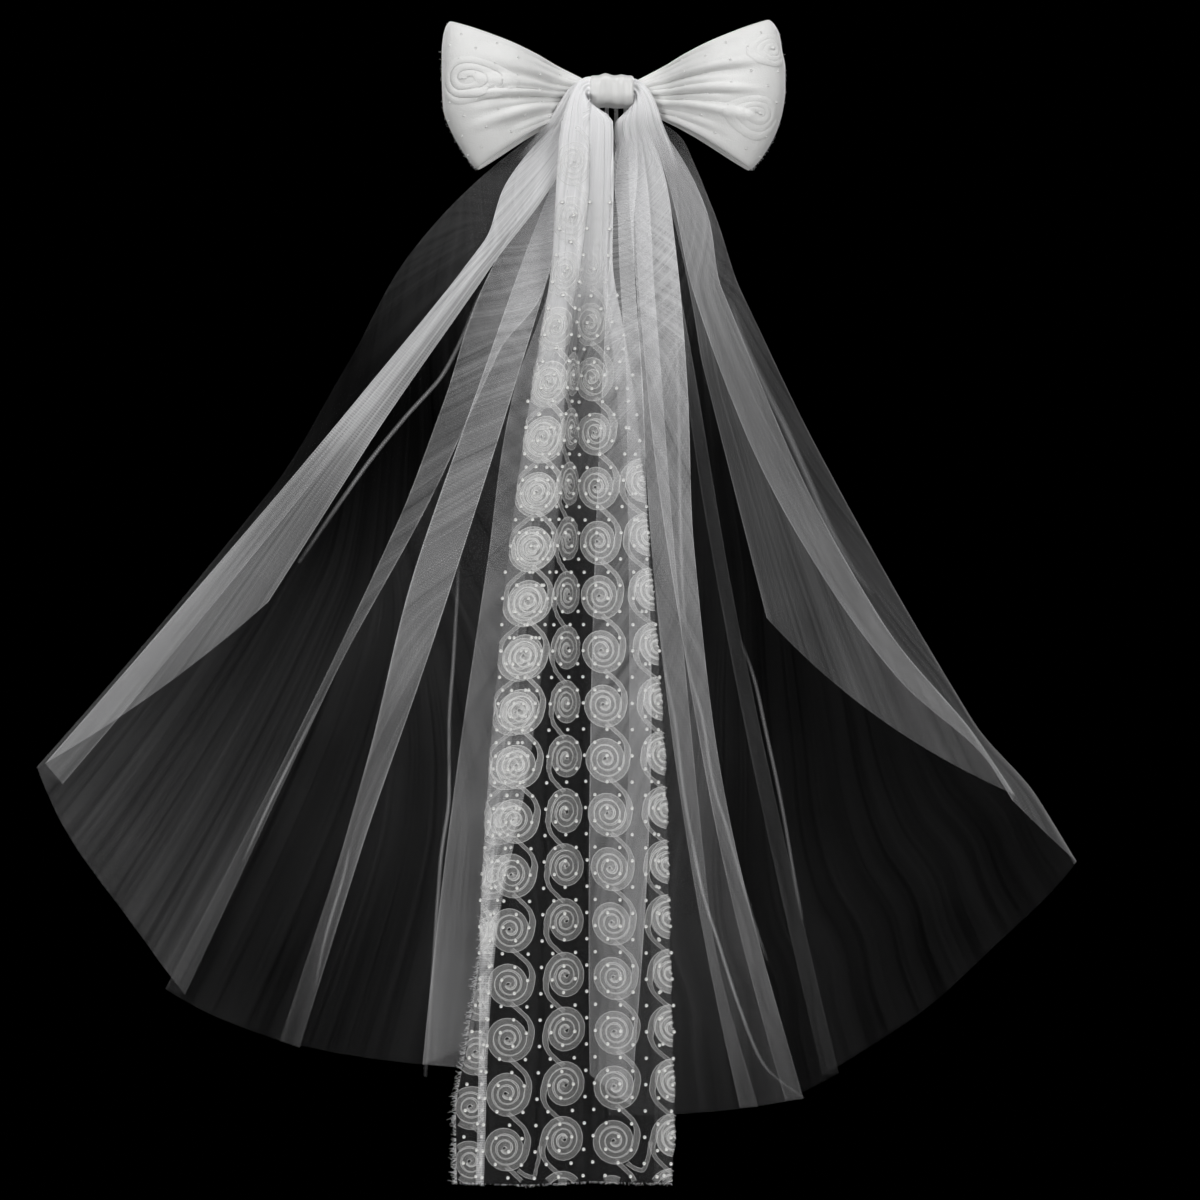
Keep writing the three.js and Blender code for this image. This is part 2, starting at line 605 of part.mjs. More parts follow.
// The satin band round the neck of the bow and the gathered cloth
function knotBand() {
  const shape = new THREE.Shape();
  const corner = KNOT_HEIGHT * KNOT_CORNER;
  const outline = (path, inset) => {
    const y0 = KNOT_FRONT + inset;
    const y1 = KNOT_BACK - inset;
    const z0 = KNOT_HEIGHT / 2 - inset;
    const r = corner - inset * CORNER_THINNING;
    path.moveTo(y0 + r, -z0);
    path.lineTo(y1 - r, -z0);
    path.quadraticCurveTo(y1, -z0, y1, -z0 + r);
    path.lineTo(y1, z0 - r);
    path.quadraticCurveTo(y1, z0, y1 - r, z0);
    path.lineTo(y0 + r, z0);
    path.quadraticCurveTo(y0, z0, y0, z0 - r);
    path.lineTo(y0, -z0 + r);
    path.quadraticCurveTo(y0, -z0, y0 + r, -z0);
  };
  outline(shape, 0);
  const hole = new THREE.Path();
  outline(hole, KNOT_WALL);
  shape.holes.push(hole);
  const band = new THREE.ExtrudeGeometry(shape, {
    depth: KNOT_WIDTH,
    bevelEnabled: false,
    steps: 1,
    curveSegments: 4,
  });
  band.translate(0, 0, -KNOT_WIDTH / 2);
  const turn = new THREE.Matrix4().makeBasis(
    new THREE.Vector3(0, 1, 0),
    new THREE.Vector3(0, 0, 1),
    new THREE.Vector3(1, 0, 0),
  );
  band.applyMatrix4(turn);
  return band;
}

// The plain comb behind the bow
function hairComb() {
  const shape = new THREE.Shape();
  const half = COMB_WIDTH / 2;
  const top = SPINE_HEIGHT / 2;
  shape.moveTo(-half, top);
  const teeth = Math.floor((COMB_WIDTH - TOOTH_WIDTH) / TOOTH_PITCH) + 1;
  const first = -((teeth - 1) * TOOTH_PITCH) / 2;
  shape.lineTo(-half, -top);
  for (let i = 0; i < teeth; i++) {
    const x = first + i * TOOTH_PITCH;
    shape.lineTo(x - TOOTH_WIDTH / 2, -top);
    shape.lineTo(x - TOOTH_WIDTH / 2, -top - TOOTH_LENGTH + TOOTH_WIDTH);
    shape.lineTo(x, -top - TOOTH_LENGTH);
    shape.lineTo(x + TOOTH_WIDTH / 2, -top - TOOTH_LENGTH + TOOTH_WIDTH);
    shape.lineTo(x + TOOTH_WIDTH / 2, -top);
  }
  shape.lineTo(half, -top);
  shape.lineTo(half, top);
  const comb = new THREE.ExtrudeGeometry(shape, { depth: COMB_THICKNESS, bevelEnabled: false });
  comb.rotateX(RIGHT_ANGLE);
  return comb;
}

// The lace at one drop: its folds in order, with the two tip points of each one that turns sharply
function laceLine(drop) {
  const value = (name) => along(LACE_ROWS.map((row) => [row.drop, row[name]]), drop);
  const back = THREE.MathUtils.lerp(LACE_NECK_BACK, LACE_FRONT + LACE_DEPTH, value("spread"));
  const shift = LACE_BULGE * value("bulge");
  return LACE_FOLDS.flatMap(({ name, depth, turns }) => {
    const x = LACE_WIDTH * value(name);
    const y = THREE.MathUtils.lerp(LACE_FRONT, back, depth) - shift;
    const tips = turns ? [-turns, turns] : [0];
    return tips.map((tip) => ({ name, point: new THREE.Vector2(x, y + (tip * LACE_WALL) / 2) }));
  });
}

// The folded length of the lace as a closed wall
function laceWall() {
  const drops = Array.from({ length: LACE_STEPS + 1 }, (_, i) =>
    THREE.MathUtils.lerp(LACE_ROWS[0].drop, 1, i / LACE_STEPS),
  );
  const rows = drops.map((drop) => {
    const sides = bothSides(laceLine(drop).map((fold) => fold.point), LACE_WALL);
    return sides.map((side) => side.map((p) => new THREE.Vector3(p.x, p.y, -LACE_DROP * drop)));
  });
  return wallBetween(rows.map((row) => row[0]), rows.map((row) => row[1]));
}

// The middle of the lace between two of its folds, and the way across it, at one drop
function laceFacet(column, drop) {
  const line = laceLine(drop);
  const from = line.findLast((fold) => fold.name === column.from).point;
  const to = line.find((fold) => fold.name === column.to).point.clone();
  const width = from.distanceTo(to);
  return { middle: from.clone().lerp(to, 0.5), direction: to.sub(from).normalize(), width };
}

// A point on a column: across from its middle, down the lace, and proud of the lace
function onColumn(column, isHalf, across, down, proud) {
  const { middle, direction, width } = laceFacet(column, down / LACE_DROP);
  const shifted = isHalf ? Math.min(across + width / 2, width / 2) - ROSETTE_GAP : across;
  const lift = LACE_WALL / 2 + ROSETTE_GAP + proud;
  const flat = middle.clone().addScaledVector(direction, shifted);
  return new THREE.Vector3(flat.x + direction.y * lift, flat.y - direction.x * lift, -down);
}

// One rosette: a raised ring of ribbon round a hollow middle
function ringedDisc(seat, radius) {
  const ring = (reach, proud) =>
    Array.from({ length: ROSETTE_SIDES }, (_, i) => {
      const turn = (i / ROSETTE_SIDES) * Math.PI * 2;
      return seat(reach * Math.cos(turn), reach * Math.sin(turn), proud);
    });
  const rings = [
    ring(radius, 0),
    ring(radius, RIBBON_THICKNESS),
    ring(radius - RIBBON_WIDTH, RIBBON_THICKNESS),
  ];
  const points = [...rings.flat(), seat(0, 0, 0), seat(0, 0, RIBBON_THICKNESS / 2)];
  const [under, top] = [points.length - 2, points.length - 1];
  const index = [];
  for (let i = 0; i < ROSETTE_SIDES; i++) {
    const j = (i + 1) % ROSETTE_SIDES;
    index.push(under, j, i);
    for (const base of [0, ROSETTE_SIDES]) {
      index.push(base + i, base + j, base + j + ROSETTE_SIDES);
      index.push(base + i, base + j + ROSETTE_SIDES, base + i + ROSETTE_SIDES);
    }
    index.push(2 * ROSETTE_SIDES + i, 2 * ROSETTE_SIDES + j, top);
  }
  const geometry = new THREE.BufferGeometry();
  const positions = points.flatMap((p) => [p.x, p.y, p.z]);
  geometry.setAttribute("position", new THREE.Float32BufferAttribute(positions, 3));
  geometry.setIndex(index);
  return geometry;
}

// The ribbon that runs from one rosette to the next, half as wide as in a rosette
function ribbonStrip(seat, side, length) {
  const half = RIBBON_WIDTH / 4;
  const steps = [0, 0.5, 1];
  const grid = (proud) =>
    steps.map((share) => [-half, half].map((x) => seat(side + x, length * share, proud)));
  const [under, over] = [RIBBON_THICKNESS * 0.2, RIBBON_THICKNESS * 0.7];
  return wallBetween(grid(over), grid(under));
}

// A column of rosettes joined by its ribbon; the last column shows only half of each
function rosetteColumn(column, isHalf) {
  let solid = null;
  for (let i = 0; i < column.count; i++) {
    const down = LACE_DROP - ROSETTE_DIAMETER * column.lowest - ROSETTE_PITCH * i;
    const { width } = laceFacet(column, down / LACE_DROP);
    const room = isHalf ? width * 2 : width;
    const radius = Math.min(ROSETTE_DIAMETER, room * ROSETTE_ROOM) / 2;
    const seat = (across, below, proud) => onColumn(column, isHalf, across, down + below, proud);
    const disc = outward(ringedDisc(seat, radius));
    solid = solid ? solid.add(disc) : disc;
    if (i + 1 < column.count) {
      const upwards = (x, up, proud) => seat(x, -up, proud);
      const strip = outward(ribbonStrip(upwards, column.runs * radius * 2, ROSETTE_PITCH));
      solid = solid.add(strip);
    }
  }
  return geometryOf(solid);
}

// The lace gathered into the knot, and its folded length below
function lacePanel() {
  const depth = LACE_NECK_DEPTH / 2;
  const y = LACE_FRONT + depth;
  const first = LACE_ROWS[0];
  const middle = (LACE_WIDTH * (first.left + first.right)) / 2;
  const halfWidth = (LACE_WIDTH * (first.right - first.left)) / 2 + LACE_WALL;
  const drop = LACE_DROP * first.drop;
  const station = (x, forward, z, headX, headZ, width) => ({
    centre: new THREE.Vector3(x, y - forward * LACE_BULGE, z),
    heading: new THREE.Vector3(headX, 0, headZ).normalize(),
    halfWidth: width,
    halfDepth: depth,
  });
  const mouth = KNOT_SIDE + CLEARANCE;
  // From inside the knot, out of its left mouth and down: x, bow forward, z, heading and half width
  const stations = [
    station(KNOT_SIDE * 0.3, 0, 0, -1, 0, NECK_HALF_HEIGHT),
    station(-mouth, 0, 0, -1, 0, NECK_HALF_HEIGHT),
    station(-mouth - depth * 2.4, 0.6, -drop * 0.4, -1, -0.7, NECK_HALF_HEIGHT),
    station(middle, 0.75, -drop * 0.95, 0, -1, halfWidth * 0.95),
    station(middle, 0.85, -drop * 1.7, 0, -1, halfWidth),
  ];
  return geometryOf(gatheredBody(stations).add(outward(laceWall())));
}

// A solid with its faces out, whichever way its rows were given
function outward(geometry) {
  const solid = solidOf(geometry);
  if (solid.volume() > 0) return solid;
  const index = Array.from(geometry.index.array);
  geometry.setIndex(index.map((_, i) => index[i - (i % 3) + [0, 2, 1][i % 3]]));
  return solidOf(geometry);
}

const pieces = [
  ["bow_left_loop", () => geometryOf(outward(bowLoop(-1, LEFT_LOOP))), padded],
  ["bow_right_loop", () => geometryOf(outward(bowLoop(1, RIGHT_LOOP))), padded],
  ["knot_band", () => knotBand(), satin],
  ["veil_tulle", () => tulleVeil(), tulle],
  ["lace_panel", () => lacePanel(), net],
  ["hair_comb", () => hairComb(), plastic],
];
ROSETTE_COLUMNS.forEach((column, i) => {
  pieces.push([`rosette_column_${i + 1}`, () => rosetteColumn(column, column.to === "right"), ribbon]);
});
const veil = new THREE.Group();
for (const [name, make, material] of pieces) {
  const mesh = new THREE.Mesh(make(), material);
  mesh.name = name;
  veil.add(mesh);
}
export default veil;
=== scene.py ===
"""Bridal veil: a padded bow, tulle drawn through its satin knot, and a panel of ribbon-rosette lace."""

import math
import random
from collections import namedtuple

import bpy
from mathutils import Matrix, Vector


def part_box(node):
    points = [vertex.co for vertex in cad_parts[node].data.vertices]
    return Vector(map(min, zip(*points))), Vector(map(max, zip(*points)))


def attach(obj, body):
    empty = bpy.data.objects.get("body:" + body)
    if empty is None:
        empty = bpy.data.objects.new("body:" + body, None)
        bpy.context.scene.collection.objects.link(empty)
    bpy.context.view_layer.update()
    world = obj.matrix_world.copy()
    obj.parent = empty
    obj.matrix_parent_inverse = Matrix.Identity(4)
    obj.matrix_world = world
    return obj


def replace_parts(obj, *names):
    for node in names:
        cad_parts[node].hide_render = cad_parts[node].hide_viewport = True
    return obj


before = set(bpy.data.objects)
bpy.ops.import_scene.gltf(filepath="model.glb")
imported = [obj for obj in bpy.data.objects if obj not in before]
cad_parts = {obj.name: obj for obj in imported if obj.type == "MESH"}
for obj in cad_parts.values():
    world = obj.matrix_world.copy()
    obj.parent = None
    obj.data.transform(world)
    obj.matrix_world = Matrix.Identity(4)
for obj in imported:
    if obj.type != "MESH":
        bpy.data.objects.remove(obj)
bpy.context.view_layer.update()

bl_info = {
    "name": "Bridal veil",
    "version": (1, 0, 0),
    "blender": (4, 5, 0),
    "location": "3D View > Sidebar > Veil",
    "description": "Builds a bridal veil with a bow, a pleated tulle fall and ribbon-rosette lace",
    "category": "Object",
}

MM = 0.001
SEED = 7

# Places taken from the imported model, in metres
KNOT_LOW, KNOT_HIGH = (Vector(corner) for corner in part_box("knot_band"))
KNOT_SIDE = KNOT_HIGH.x
LACE_DROP = -Vector(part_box("lace_panel")[0]).z

# The knot's band and the cloths that it holds
KNOT_WALL = 1.6 * MM
CLEARANCE = 0.35 * MM
NECK_WALLS = 7.2 * MM
NECK_HALF_HEIGHT = KNOT_HIGH.z - KNOT_WALL - CLEARANCE
NECK_BACK = KNOT_HIGH.y - KNOT_WALL - CLEARANCE
NECK_FRONT = NECK_BACK - NECK_WALLS
GATHER_BACK = NECK_FRONT - CLEARANCE
LACE_NECK_DEPTH = 6.6 * MM
LACE_FRONT = KNOT_LOW.y + KNOT_WALL + CLEARANCE
LACE_NECK_BACK = LACE_FRONT + LACE_NECK_DEPTH
GATHER_FRONT = LACE_NECK_BACK + CLEARANCE

# The tulle falls: the reach at which they hang loose, the shares of it over which their back settles and
# their waves grow, and the degrees from straight down over which the waves set in
VEIL_BACK = -5 * MM
LOOSE_REACH = 200 * MM
BACK_SETTLES = (0.25, 1.3)
WAVE_GROWS = (1, 3)
WAVE_FROM = (12, 22)
WAVE_DEPTH = 22 * MM
WAVE_ANGLE = 13
FALL_TOP = -NECK_HALF_HEIGHT / 2
FOLD_TIP = 0.55 * MM

# The lace
LACE_WIDTH = 128 * MM
LACE_DEPTH = 24 * MM
LACE_BULGE = 9 * MM
ROSETTE_RADIUS = 16.2 * MM
ROSETTE_PITCH = 35.1 * MM
DOT_STEP = 8.45 * MM

# The bow
LOOP_LENGTH = 96 * MM
LOOP_HEIGHT = 97 * MM
LOOP_DEPTH = 46 * MM
LOOP_WALL = 3 * MM
LOOP_CREASE = 2.4 * MM
LOOP_MIDDLE = (NECK_BACK + NECK_FRONT) / 2
LOOP_MIDDLE_OUT = -(LOOP_DEPTH / 2 + 5.5 * MM)

# One fold or cut edge of the tulle: reach as a share of the fall, depth from front (0) to back (1), how
# much the cloth up to the next fold covers (from near the knot to the hem), and its angle from
# straight down, in degrees, at shares of the fall
Fold = namedtuple("Fold", "edge reach depth cover angle")
LEFT_FOLDS = (
    Fold("front cut edge", 0.6, 0, (0.45, 0.48, 0.2, 0.12),
         ((0.06, -20), (0.2, -29.8), (0.42, -32.2), (1, -32.3))),
    Fold("outer fold of the flap", 0.86, 0.09, (0.45, 0.42, 0.17, 0.09),
         ((0.06, -50), (0.12, -44), (0.18, -35.9), (0.37, -37.2), (0.64, -38.4), (1, -39.4))),
    Fold("stripe", 0.865, 0.18, (0.04, 0.003, 0.012),
         ((0.06, -22), (0.19, -32.4), (0.45, -35.4), (1, -37.8))),
    Fold("outermost fold", 0.87, 0.27, (0.04, 0.003, 0.07),
         ((0.06, -56), (0.12, -54), (0.24, -48.6), (0.36, -42.1), (0.51, -38.9), (0.6, -38.9), (1, -39.7))),
    Fold("first pleat, right", 0.985, 0.4, (0.25, 0.12, 0.005),
         ((0.06, -12), (0.2, -13.5), (0.27, -19.5), (0.43, -21.5), (0.64, -23.7), (1, -24.2))),
    Fold("first pleat, left", 0.99, 0.48, (0.15, 0.022, 0.016),
         ((0.06, -32), (0.22, -29.4), (0.34, -25.6), (0.47, -24.3), (1, -25.4))),
    Fold("second pleat, right", 1, 0.58, (0.25, 0.21, 0.02),
         ((0.06, -6), (0.19, -13.2), (0.38, -15.2), (0.6, -16.2), (0.79, -16.9), (1, -17))),
    Fold("second pleat, left", 1, 0.66, (0.2, 0.03, 0.012),
         ((0.06, -24), (0.3, -21.2), (0.5, -20.4), (0.7, -18.6), (0.85, -18.2), (1, -18.2))),
    Fold("behind the lace", 0.985, 0.8, (0.2, 0.1, 0.07),
         ((0.06, 0), (0.2, -8), (0.6, -7.6), (1, -6.6))),
    Fold("inner pleat, left", 0.99, 0.88, (0.2, 0.08, 0.06),
         ((0.06, -16), (0.18, -12.1), (0.3, -14.6), (0.48, -12.5), (0.66, -11.4), (1, -9.8))),
    Fold("back cut edge", 0.965, 1, (0.1, 0.03, 0.02),
         ((0.06, 0), (0.2, -6.5), (1, -7.2))),
)
RIGHT_FOLDS = (
    Fold("front cut edge", 0.53, 0.2, (0.18, 0.07, 0.12),
         ((0.06, 20), (0.22, 15.4), (0.28, 14.2), (1, 14.2))),
    Fold("stripe, right", 0.78, 0.33, (0.2, 0.09, 0.18),
         ((0.06, 40), (0.13, 33), (0.21, 24.5), (0.37, 23.6), (0.57, 25.2), (0.72, 28), (1, 29.4))),
    Fold("stripe, left", 0.785, 0.46, (0.08, 0.04, 0.16),
         ((0.06, 24), (0.2, 17), (0.34, 18.2), (0.5, 21.3), (0.63, 24.4), (0.75, 28), (1, 28.6))),
    Fold("outermost fold", 0.872, 0.98, (0.06, 0.005, 0.012),
         ((0.06, 52), (0.09, 43), (0.13, 36.5), (0.22, 29.4), (0.39, 27.9), (0.7, 28.6), (0.8, 30),
          (1, 30.2))),
    Fold("small pleat, left", 0.985, 0.76, (0.15, 0.02, 0.012),
         ((0.06, 14), (0.24, 10.8), (0.41, 9.8), (1, 11))),
    Fold("small pleat, right", 0.985, 0.68, (0.15, 0.012, 0.01),
         ((0.06, 22), (0.22, 13.2), (0.52, 11.3), (1, 11.9))),
    Fold("inner pleat, left", 1, 0.44, (0.5, 0.2, 0.04),
         ((0.06, 0), (0.24, 2.2), (0.37, 3.5), (0.52, 5), (0.75, 6.6), (1, 8.6))),
    Fold("inner pleat, right", 1, 0.38, (0.4, 0.13, 0.03),
         ((0.06, 24), (0.16, 15.2), (0.29, 10.5), (0.45, 7.6), (0.6, 7.2), (1, 9.6))),
    Fold("narrow pleat, left", 1, 0.3, (0.35, 0.15, 0.01),
         ((0.06, -4), (0.2, 1), (0.45, 2.3), (0.75, 4.2), (1, 6))),
    Fold("narrow pleat, right", 1, 0.24, (0.3, 0.08, 0.015),
         ((0.06, 10), (0.2, 6), (0.45, 5.1), (0.8, 5.3), (1, 7))),
    Fold("front pleat, left", 1, 0.15, (0.35, 0.18, 0),
         ((0.06, -18), (0.13, -6.6), (0.3, -1.3), (0.6, -0.4), (1, -1.4))),
    Fold("front pleat, right", 0.99, 0.08, (0.3, 0.2, 0.15),
         ((0.06, 4), (0.13, 0), (0.3, 1.8), (0.5, 1.8), (1, -0.2))),
    Fold("cut edge over the lace", 0.96, 0, (0.1, 0.05, 0.02),
         ((0.06, -14), (0.12, -9.6), (0.3, -6), (0.6, -4), (1, -2.4))),
)
# A fall: its side, its length, how far forward its front pleat comes where it hangs loose, and its folds
Fall = namedtuple("Fall", "side length front folds")
LEFT_FALL = Fall(-1, 640 * MM, VEIL_BACK - 41 * MM, LEFT_FOLDS)
RIGHT_FALL = Fall(1, 652 * MM, VEIL_BACK - 53 * MM, RIGHT_FOLDS)

# The folds of the lace across the cloth, each with its depth and the way that it turns
LaceFold = namedtuple("LaceFold", "name depth turns")
LACE_FOLDS = (
    LaceFold("cut", 0.64, 0),
    LaceFold("inner", 0.5, -1),
    LaceFold("left", 0.36, -1),
    LaceFold("second", 0, 1),
    LaceFold("third", 1, 1),
    LaceFold("fourth", 0.5, 0),
    LaceFold("right", 0.42, 1),
    LaceFold("flap", 0.78, 0),
)
# The lace from the knot to its cut edge: places across as shares of its width, from the knot's middle
LaceRow = namedtuple("LaceRow", "drop bulge spread cut inner left second third fourth right flap")
LACE_ROWS = (
    LaceRow(0.029, 0.75, 0, -0.221, -0.206, -0.251, -0.109, -0.165, -0.03, 0.006, -0.06),
    LaceRow(0.088, 1, 0.1, -0.241, -0.216, -0.277, -0.114, -0.17, -0.02, 0.01, -0.06),
    LaceRow(0.153, 0.85, 0.3, -0.251, -0.221, -0.297, -0.15, -0.17, -0.035, 0.004, -0.06),
    LaceRow(0.227, 0.45, 0.62, -0.282, -0.231, -0.358, -0.211, -0.175, -0.028, 0.069, -0.003),
    LaceRow(0.31, 0.12, 0.9, -0.338, -0.241, -0.434, -0.241, -0.175, 0.018, 0.135, 0.043),
    LaceRow(0.412, 0, 1, -0.404, -0.277, -0.51, -0.277, -0.17, 0.048, 0.185, 0.094),
    LaceRow(0.513, 0, 1, -0.47, -0.338, -0.566, -0.302, -0.16, 0.074, 0.231, 0.129),
    LaceRow(0.634, 0, 0.9, -0.556, -0.429, -0.622, -0.332, -0.14, 0.104, 0.272, 0.17),
    LaceRow(0.772, 0, 0.75, -0.647, -0.576, -0.662, -0.353, -0.119, 0.14, 0.292, 0.195),
    LaceRow(0.878, 0, 0.6, -0.739, -0.622, -0.668, -0.368, -0.104, 0.15, 0.307, 0.206),
    LaceRow(0.939, 0, 0.5, -0.789, -0.632, -0.673, -0.383, -0.104, 0.145, 0.317, 0.216),
    LaceRow(1, 0, 0.45, -0.784, -0.642, -0.683, -0.393, -0.109, 0.135, 0.302, 0.211),
)
# The columns of rosettes: the fold or the two folds that each is centred on, how many, its lowest one
# above the cut edge in millimetres, and whether its ribbon comes from the rosette above (1) or below (-1)
Column = namedtuple("Column", "name folds count lowest comes")
COLUMNS = (
    Column("rosettes_folded_back", ("inner", "left"), 11, 197.2, 1),
    Column("rosettes_first", ("left", "second"), 19, 23.2, 1),
    Column("rosettes_second", ("second", "third"), 15, 27.8, -1),
    Column("rosettes_third", ("third", "fourth"), 18, 26.7, 1),
    Column("rosettes_fourth", ("right", "right"), 13, 29.9, -1),
    Column("rosettes_cut_edge", ("cut", "inner"), 5, 14, 1),
)

# The lines of each loop of the bow from its top edge to its bottom edge: where it ends, as shares of the
# loop's length and height, how much it bows up on the way, and its crease (in or out)
LoopLine = namedtuple("LoopLine", "length height sag crease")
LEFT_LINES = (
    LoopLine(0.935, 0.445, 0.02, 0),
    LoopLine(0.965, 0.35, 0.022, 1),
    LoopLine(0.975, 0.235, 0.022, -0.6),
    LoopLine(0.975, 0.11, 0.015, 0.7),
    LoopLine(0.972, -0.01, 0, -1),
    LoopLine(0.965, -0.13, 0, 0.9),
    LoopLine(0.915, -0.27, 0.01, -0.7),
    LoopLine(0.83, -0.415, 0.015, 0.8),
    LoopLine(0.75, -0.525, 0.02, 0),
)
RIGHT_LINES = (
    LoopLine(0.905, 0.455, 0.018, 0),
    LoopLine(0.96, 0.36, 0.022, 0.8),
    LoopLine(0.98, 0.245, 0.022, -0.8),
    LoopLine(1, 0.13, 0.02, 1),
    LoopLine(1, 0, 0.01, -0.7),
    LoopLine(0.985, -0.13, 0, 0.8),
    LoopLine(0.945, -0.27, 0.01, -1),
    LoopLine(0.86, -0.425, 0.015, 0.7),
    LoopLine(0.775, -0.53, 0.02, 0),
)
# The loops from the knot outwards: place, depth and how far the middle has come forward
LoopStation = namedtuple("LoopStation", "in_knot out half middle")
LOOP_STATIONS = (
    LoopStation(0, 0, 0, 0),
    LoopStation(1, 0, 0, 0),
    LoopStation(1, 0.09, 0.03, 0.02),
    LoopStation(1, 0.22, 0.2, 0.12),
    LoopStation(1, 0.4, 0.68, 0.72),
    LoopStation(1, 0.6, 0.95, 1),
    LoopStation(1, 0.78, 1, 1),
    LoopStation(1, 0.91, 0.8, 1),
    LoopStation(1, 0.98, 0.48, 1),
    LoopStation(1, 1, 0.14, 1),
)

# Painted highlights along the folds of the tulle, as light lines of extra cover: how much they cover, their
# width, and their path in pixels of the photograph, which is 1200 pixels wide
Crease = namedtuple("Crease", "cover width path")
PHOTO_MIDDLE = (611.5, 95)
PIXEL = 0.65 * MM
CREASE_HIGHLIGHTS = (
    Crease(0.3, 3.2, ((483, 294), (458, 353), (444, 378), (407, 420), (373, 462), (343, 504), (303, 563))),
    Crease(0.22, 2.6, ((325, 700), (305, 740), (276, 798), (250, 855))),
    Crease(0.2, 2.6, ((352, 845), (346, 874), (337, 903), (327, 938), (317, 986))),
    Crease(0.22, 3, ((460, 557), (458, 597), (454, 664), (450, 728), (450, 791), (442, 855), (435, 951),
                     (431, 1014), (427, 1071))),
    Crease(0.2, 2.8, ((740, 640), (754, 681), (765, 731), (776, 781), (783, 817), (794, 881), (801, 917))),
    Crease(0.24, 3, ((655, 589), (663, 663), (674, 721), (681, 780), (691, 839), (702, 891), (716, 935),
                     (737, 1000), (762, 1058), (800, 1090))),
    Crease(0.25, 3.4, ((672, 300), (677, 387), (679, 517), (681, 582), (685, 640))),
    Crease(0.16, 5, ((729, 300), (742, 341), (763, 387), (785, 430), (807, 480), (828, 528), (850, 567),
                     (870, 593))),
    Crease(0.2, 3, ((674, 560), (686, 660), (701, 717), (711, 778), (726, 828), (740, 878), (754, 924),
                    (765, 956))),
)


def mix(low, high, share):
    return low + (high - low) * share


def smoothstep(value, low, high):
    share = min(max((value - low) / (high - low), 0), 1)
    return share * share * (3 - 2 * share)


def along(rows, place):
    """A value at a place along (place, value) rows, on a smooth curve that never overshoots them."""
    if place <= rows[0][0]:
        return rows[0][1]
    if place >= rows[-1][0]:
        return rows[-1][1]
    last = len(rows) - 1
    i = next(i for i in range(last) if rows[i + 1][0] > place)

    def slope(j):
        return (rows[j + 1][1] - rows[j][1]) / (rows[j + 1][0] - rows[j][0])

    def tangent(j):
        if j in (0, last):
            return slope(min(j, last - 1))
        before, after = slope(j - 1), slope(j)
        return 0 if before * after <= 0 else 2 * before * after / (before + after)

    step = rows[i + 1][0] - rows[i][0]
    t = (place - rows[i][0]) / step
    return (
        rows[i][1] * (2 * t**3 - 3 * t**2 + 1)
        + tangent(i) * step * (t**3 - 2 * t**2 + t)
        + rows[i + 1][1] * (3 * t**2 - 2 * t**3)
        + tangent(i + 1) * step * (t**3 - t**2)
    )


def add_mesh(name, points, faces, material, floats=None):
    """A smooth piece with its material and its named numbers for each point, riding on the veil's body."""
    mesh = bpy.data.meshes.new(name)
    mesh.from_pydata([tuple(point) for point in points], [], faces)
    for label, values in (floats or {}).items():
        mesh.attributes.new(label, "FLOAT", "POINT").data.foreach_set("value", values)
    mesh.polygons.foreach_set("use_smooth", [True] * len(mesh.polygons))
    mesh.materials.append(material)
    mesh.update()
    piece = bpy.data.objects.new(name, mesh)
    bpy.context.scene.collection.objects.link(piece)
    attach(piece, "root")
    return piece


def grid_faces(rows, columns, start=0, closed=False):
    """The quads between rows of points that lie one after the other."""
    faces = []
    for i in range(rows - 1):
        for j in range(columns if closed else columns - 1):
            a = start + i * columns + j
            b = start + i * columns + (j + 1) % columns
            faces.append((a, b, b + columns, a + columns))
    return faces


class Parts:
    """Points, faces and numbers of many small things, gathered into one mesh."""

    def __init__(self, *labels):
        self.points = []
        self.faces = []
        self.floats = {label: [] for label in labels}

    def add_rows(self, rows, closed=False):
        """Rows of (point, number, ...) as a strip or a tube."""
        if len(rows) < 2:
            return
        start = len(self.points)
        for row in rows:
            for point, *numbers in row:
                self.points.append(point)
                for values, number in zip(self.floats.values(), numbers):
                    values.append(number)
        self.faces += grid_faces(len(rows), len(rows[0]), start, closed)

    def add_copy(self, points, faces, place):
        start = len(self.points)
        self.points += [point + place for point in points]
        self.faces += [tuple(start + i for i in face) for face in faces]

    def piece(self, name, material, slot):
        return add_mesh(name, self.points, self.faces, material, self.floats)


class Value:
    """A shader socket that Python's operators add Math nodes to."""

    def __init__(self, tree, socket):
        self.tree = tree
        self.socket = socket

    def math(self, operation, *values):
        return self.tree.node("ShaderNodeMath", {"operation": operation}, dict(enumerate(values)))

    def __add__(self, other):
        return self.math("ADD", self, other)

    def __sub__(self, other):
        return self.math("SUBTRACT", self, other)

    def __rsub__(self, other):
        return self.math("SUBTRACT", other, self)

    def __mul__(self, other):
        return self.math("MULTIPLY", self, other)

    def __pow__(self, other):
        return self.math("POWER", self, other)

    __radd__ = __add__
    __rmul__ = __mul__

    def sine(self):
        return self.math("SINE", self)

    def clamped(self):
        return self.tree.node("ShaderNodeClamp", {}, {"Value": self})


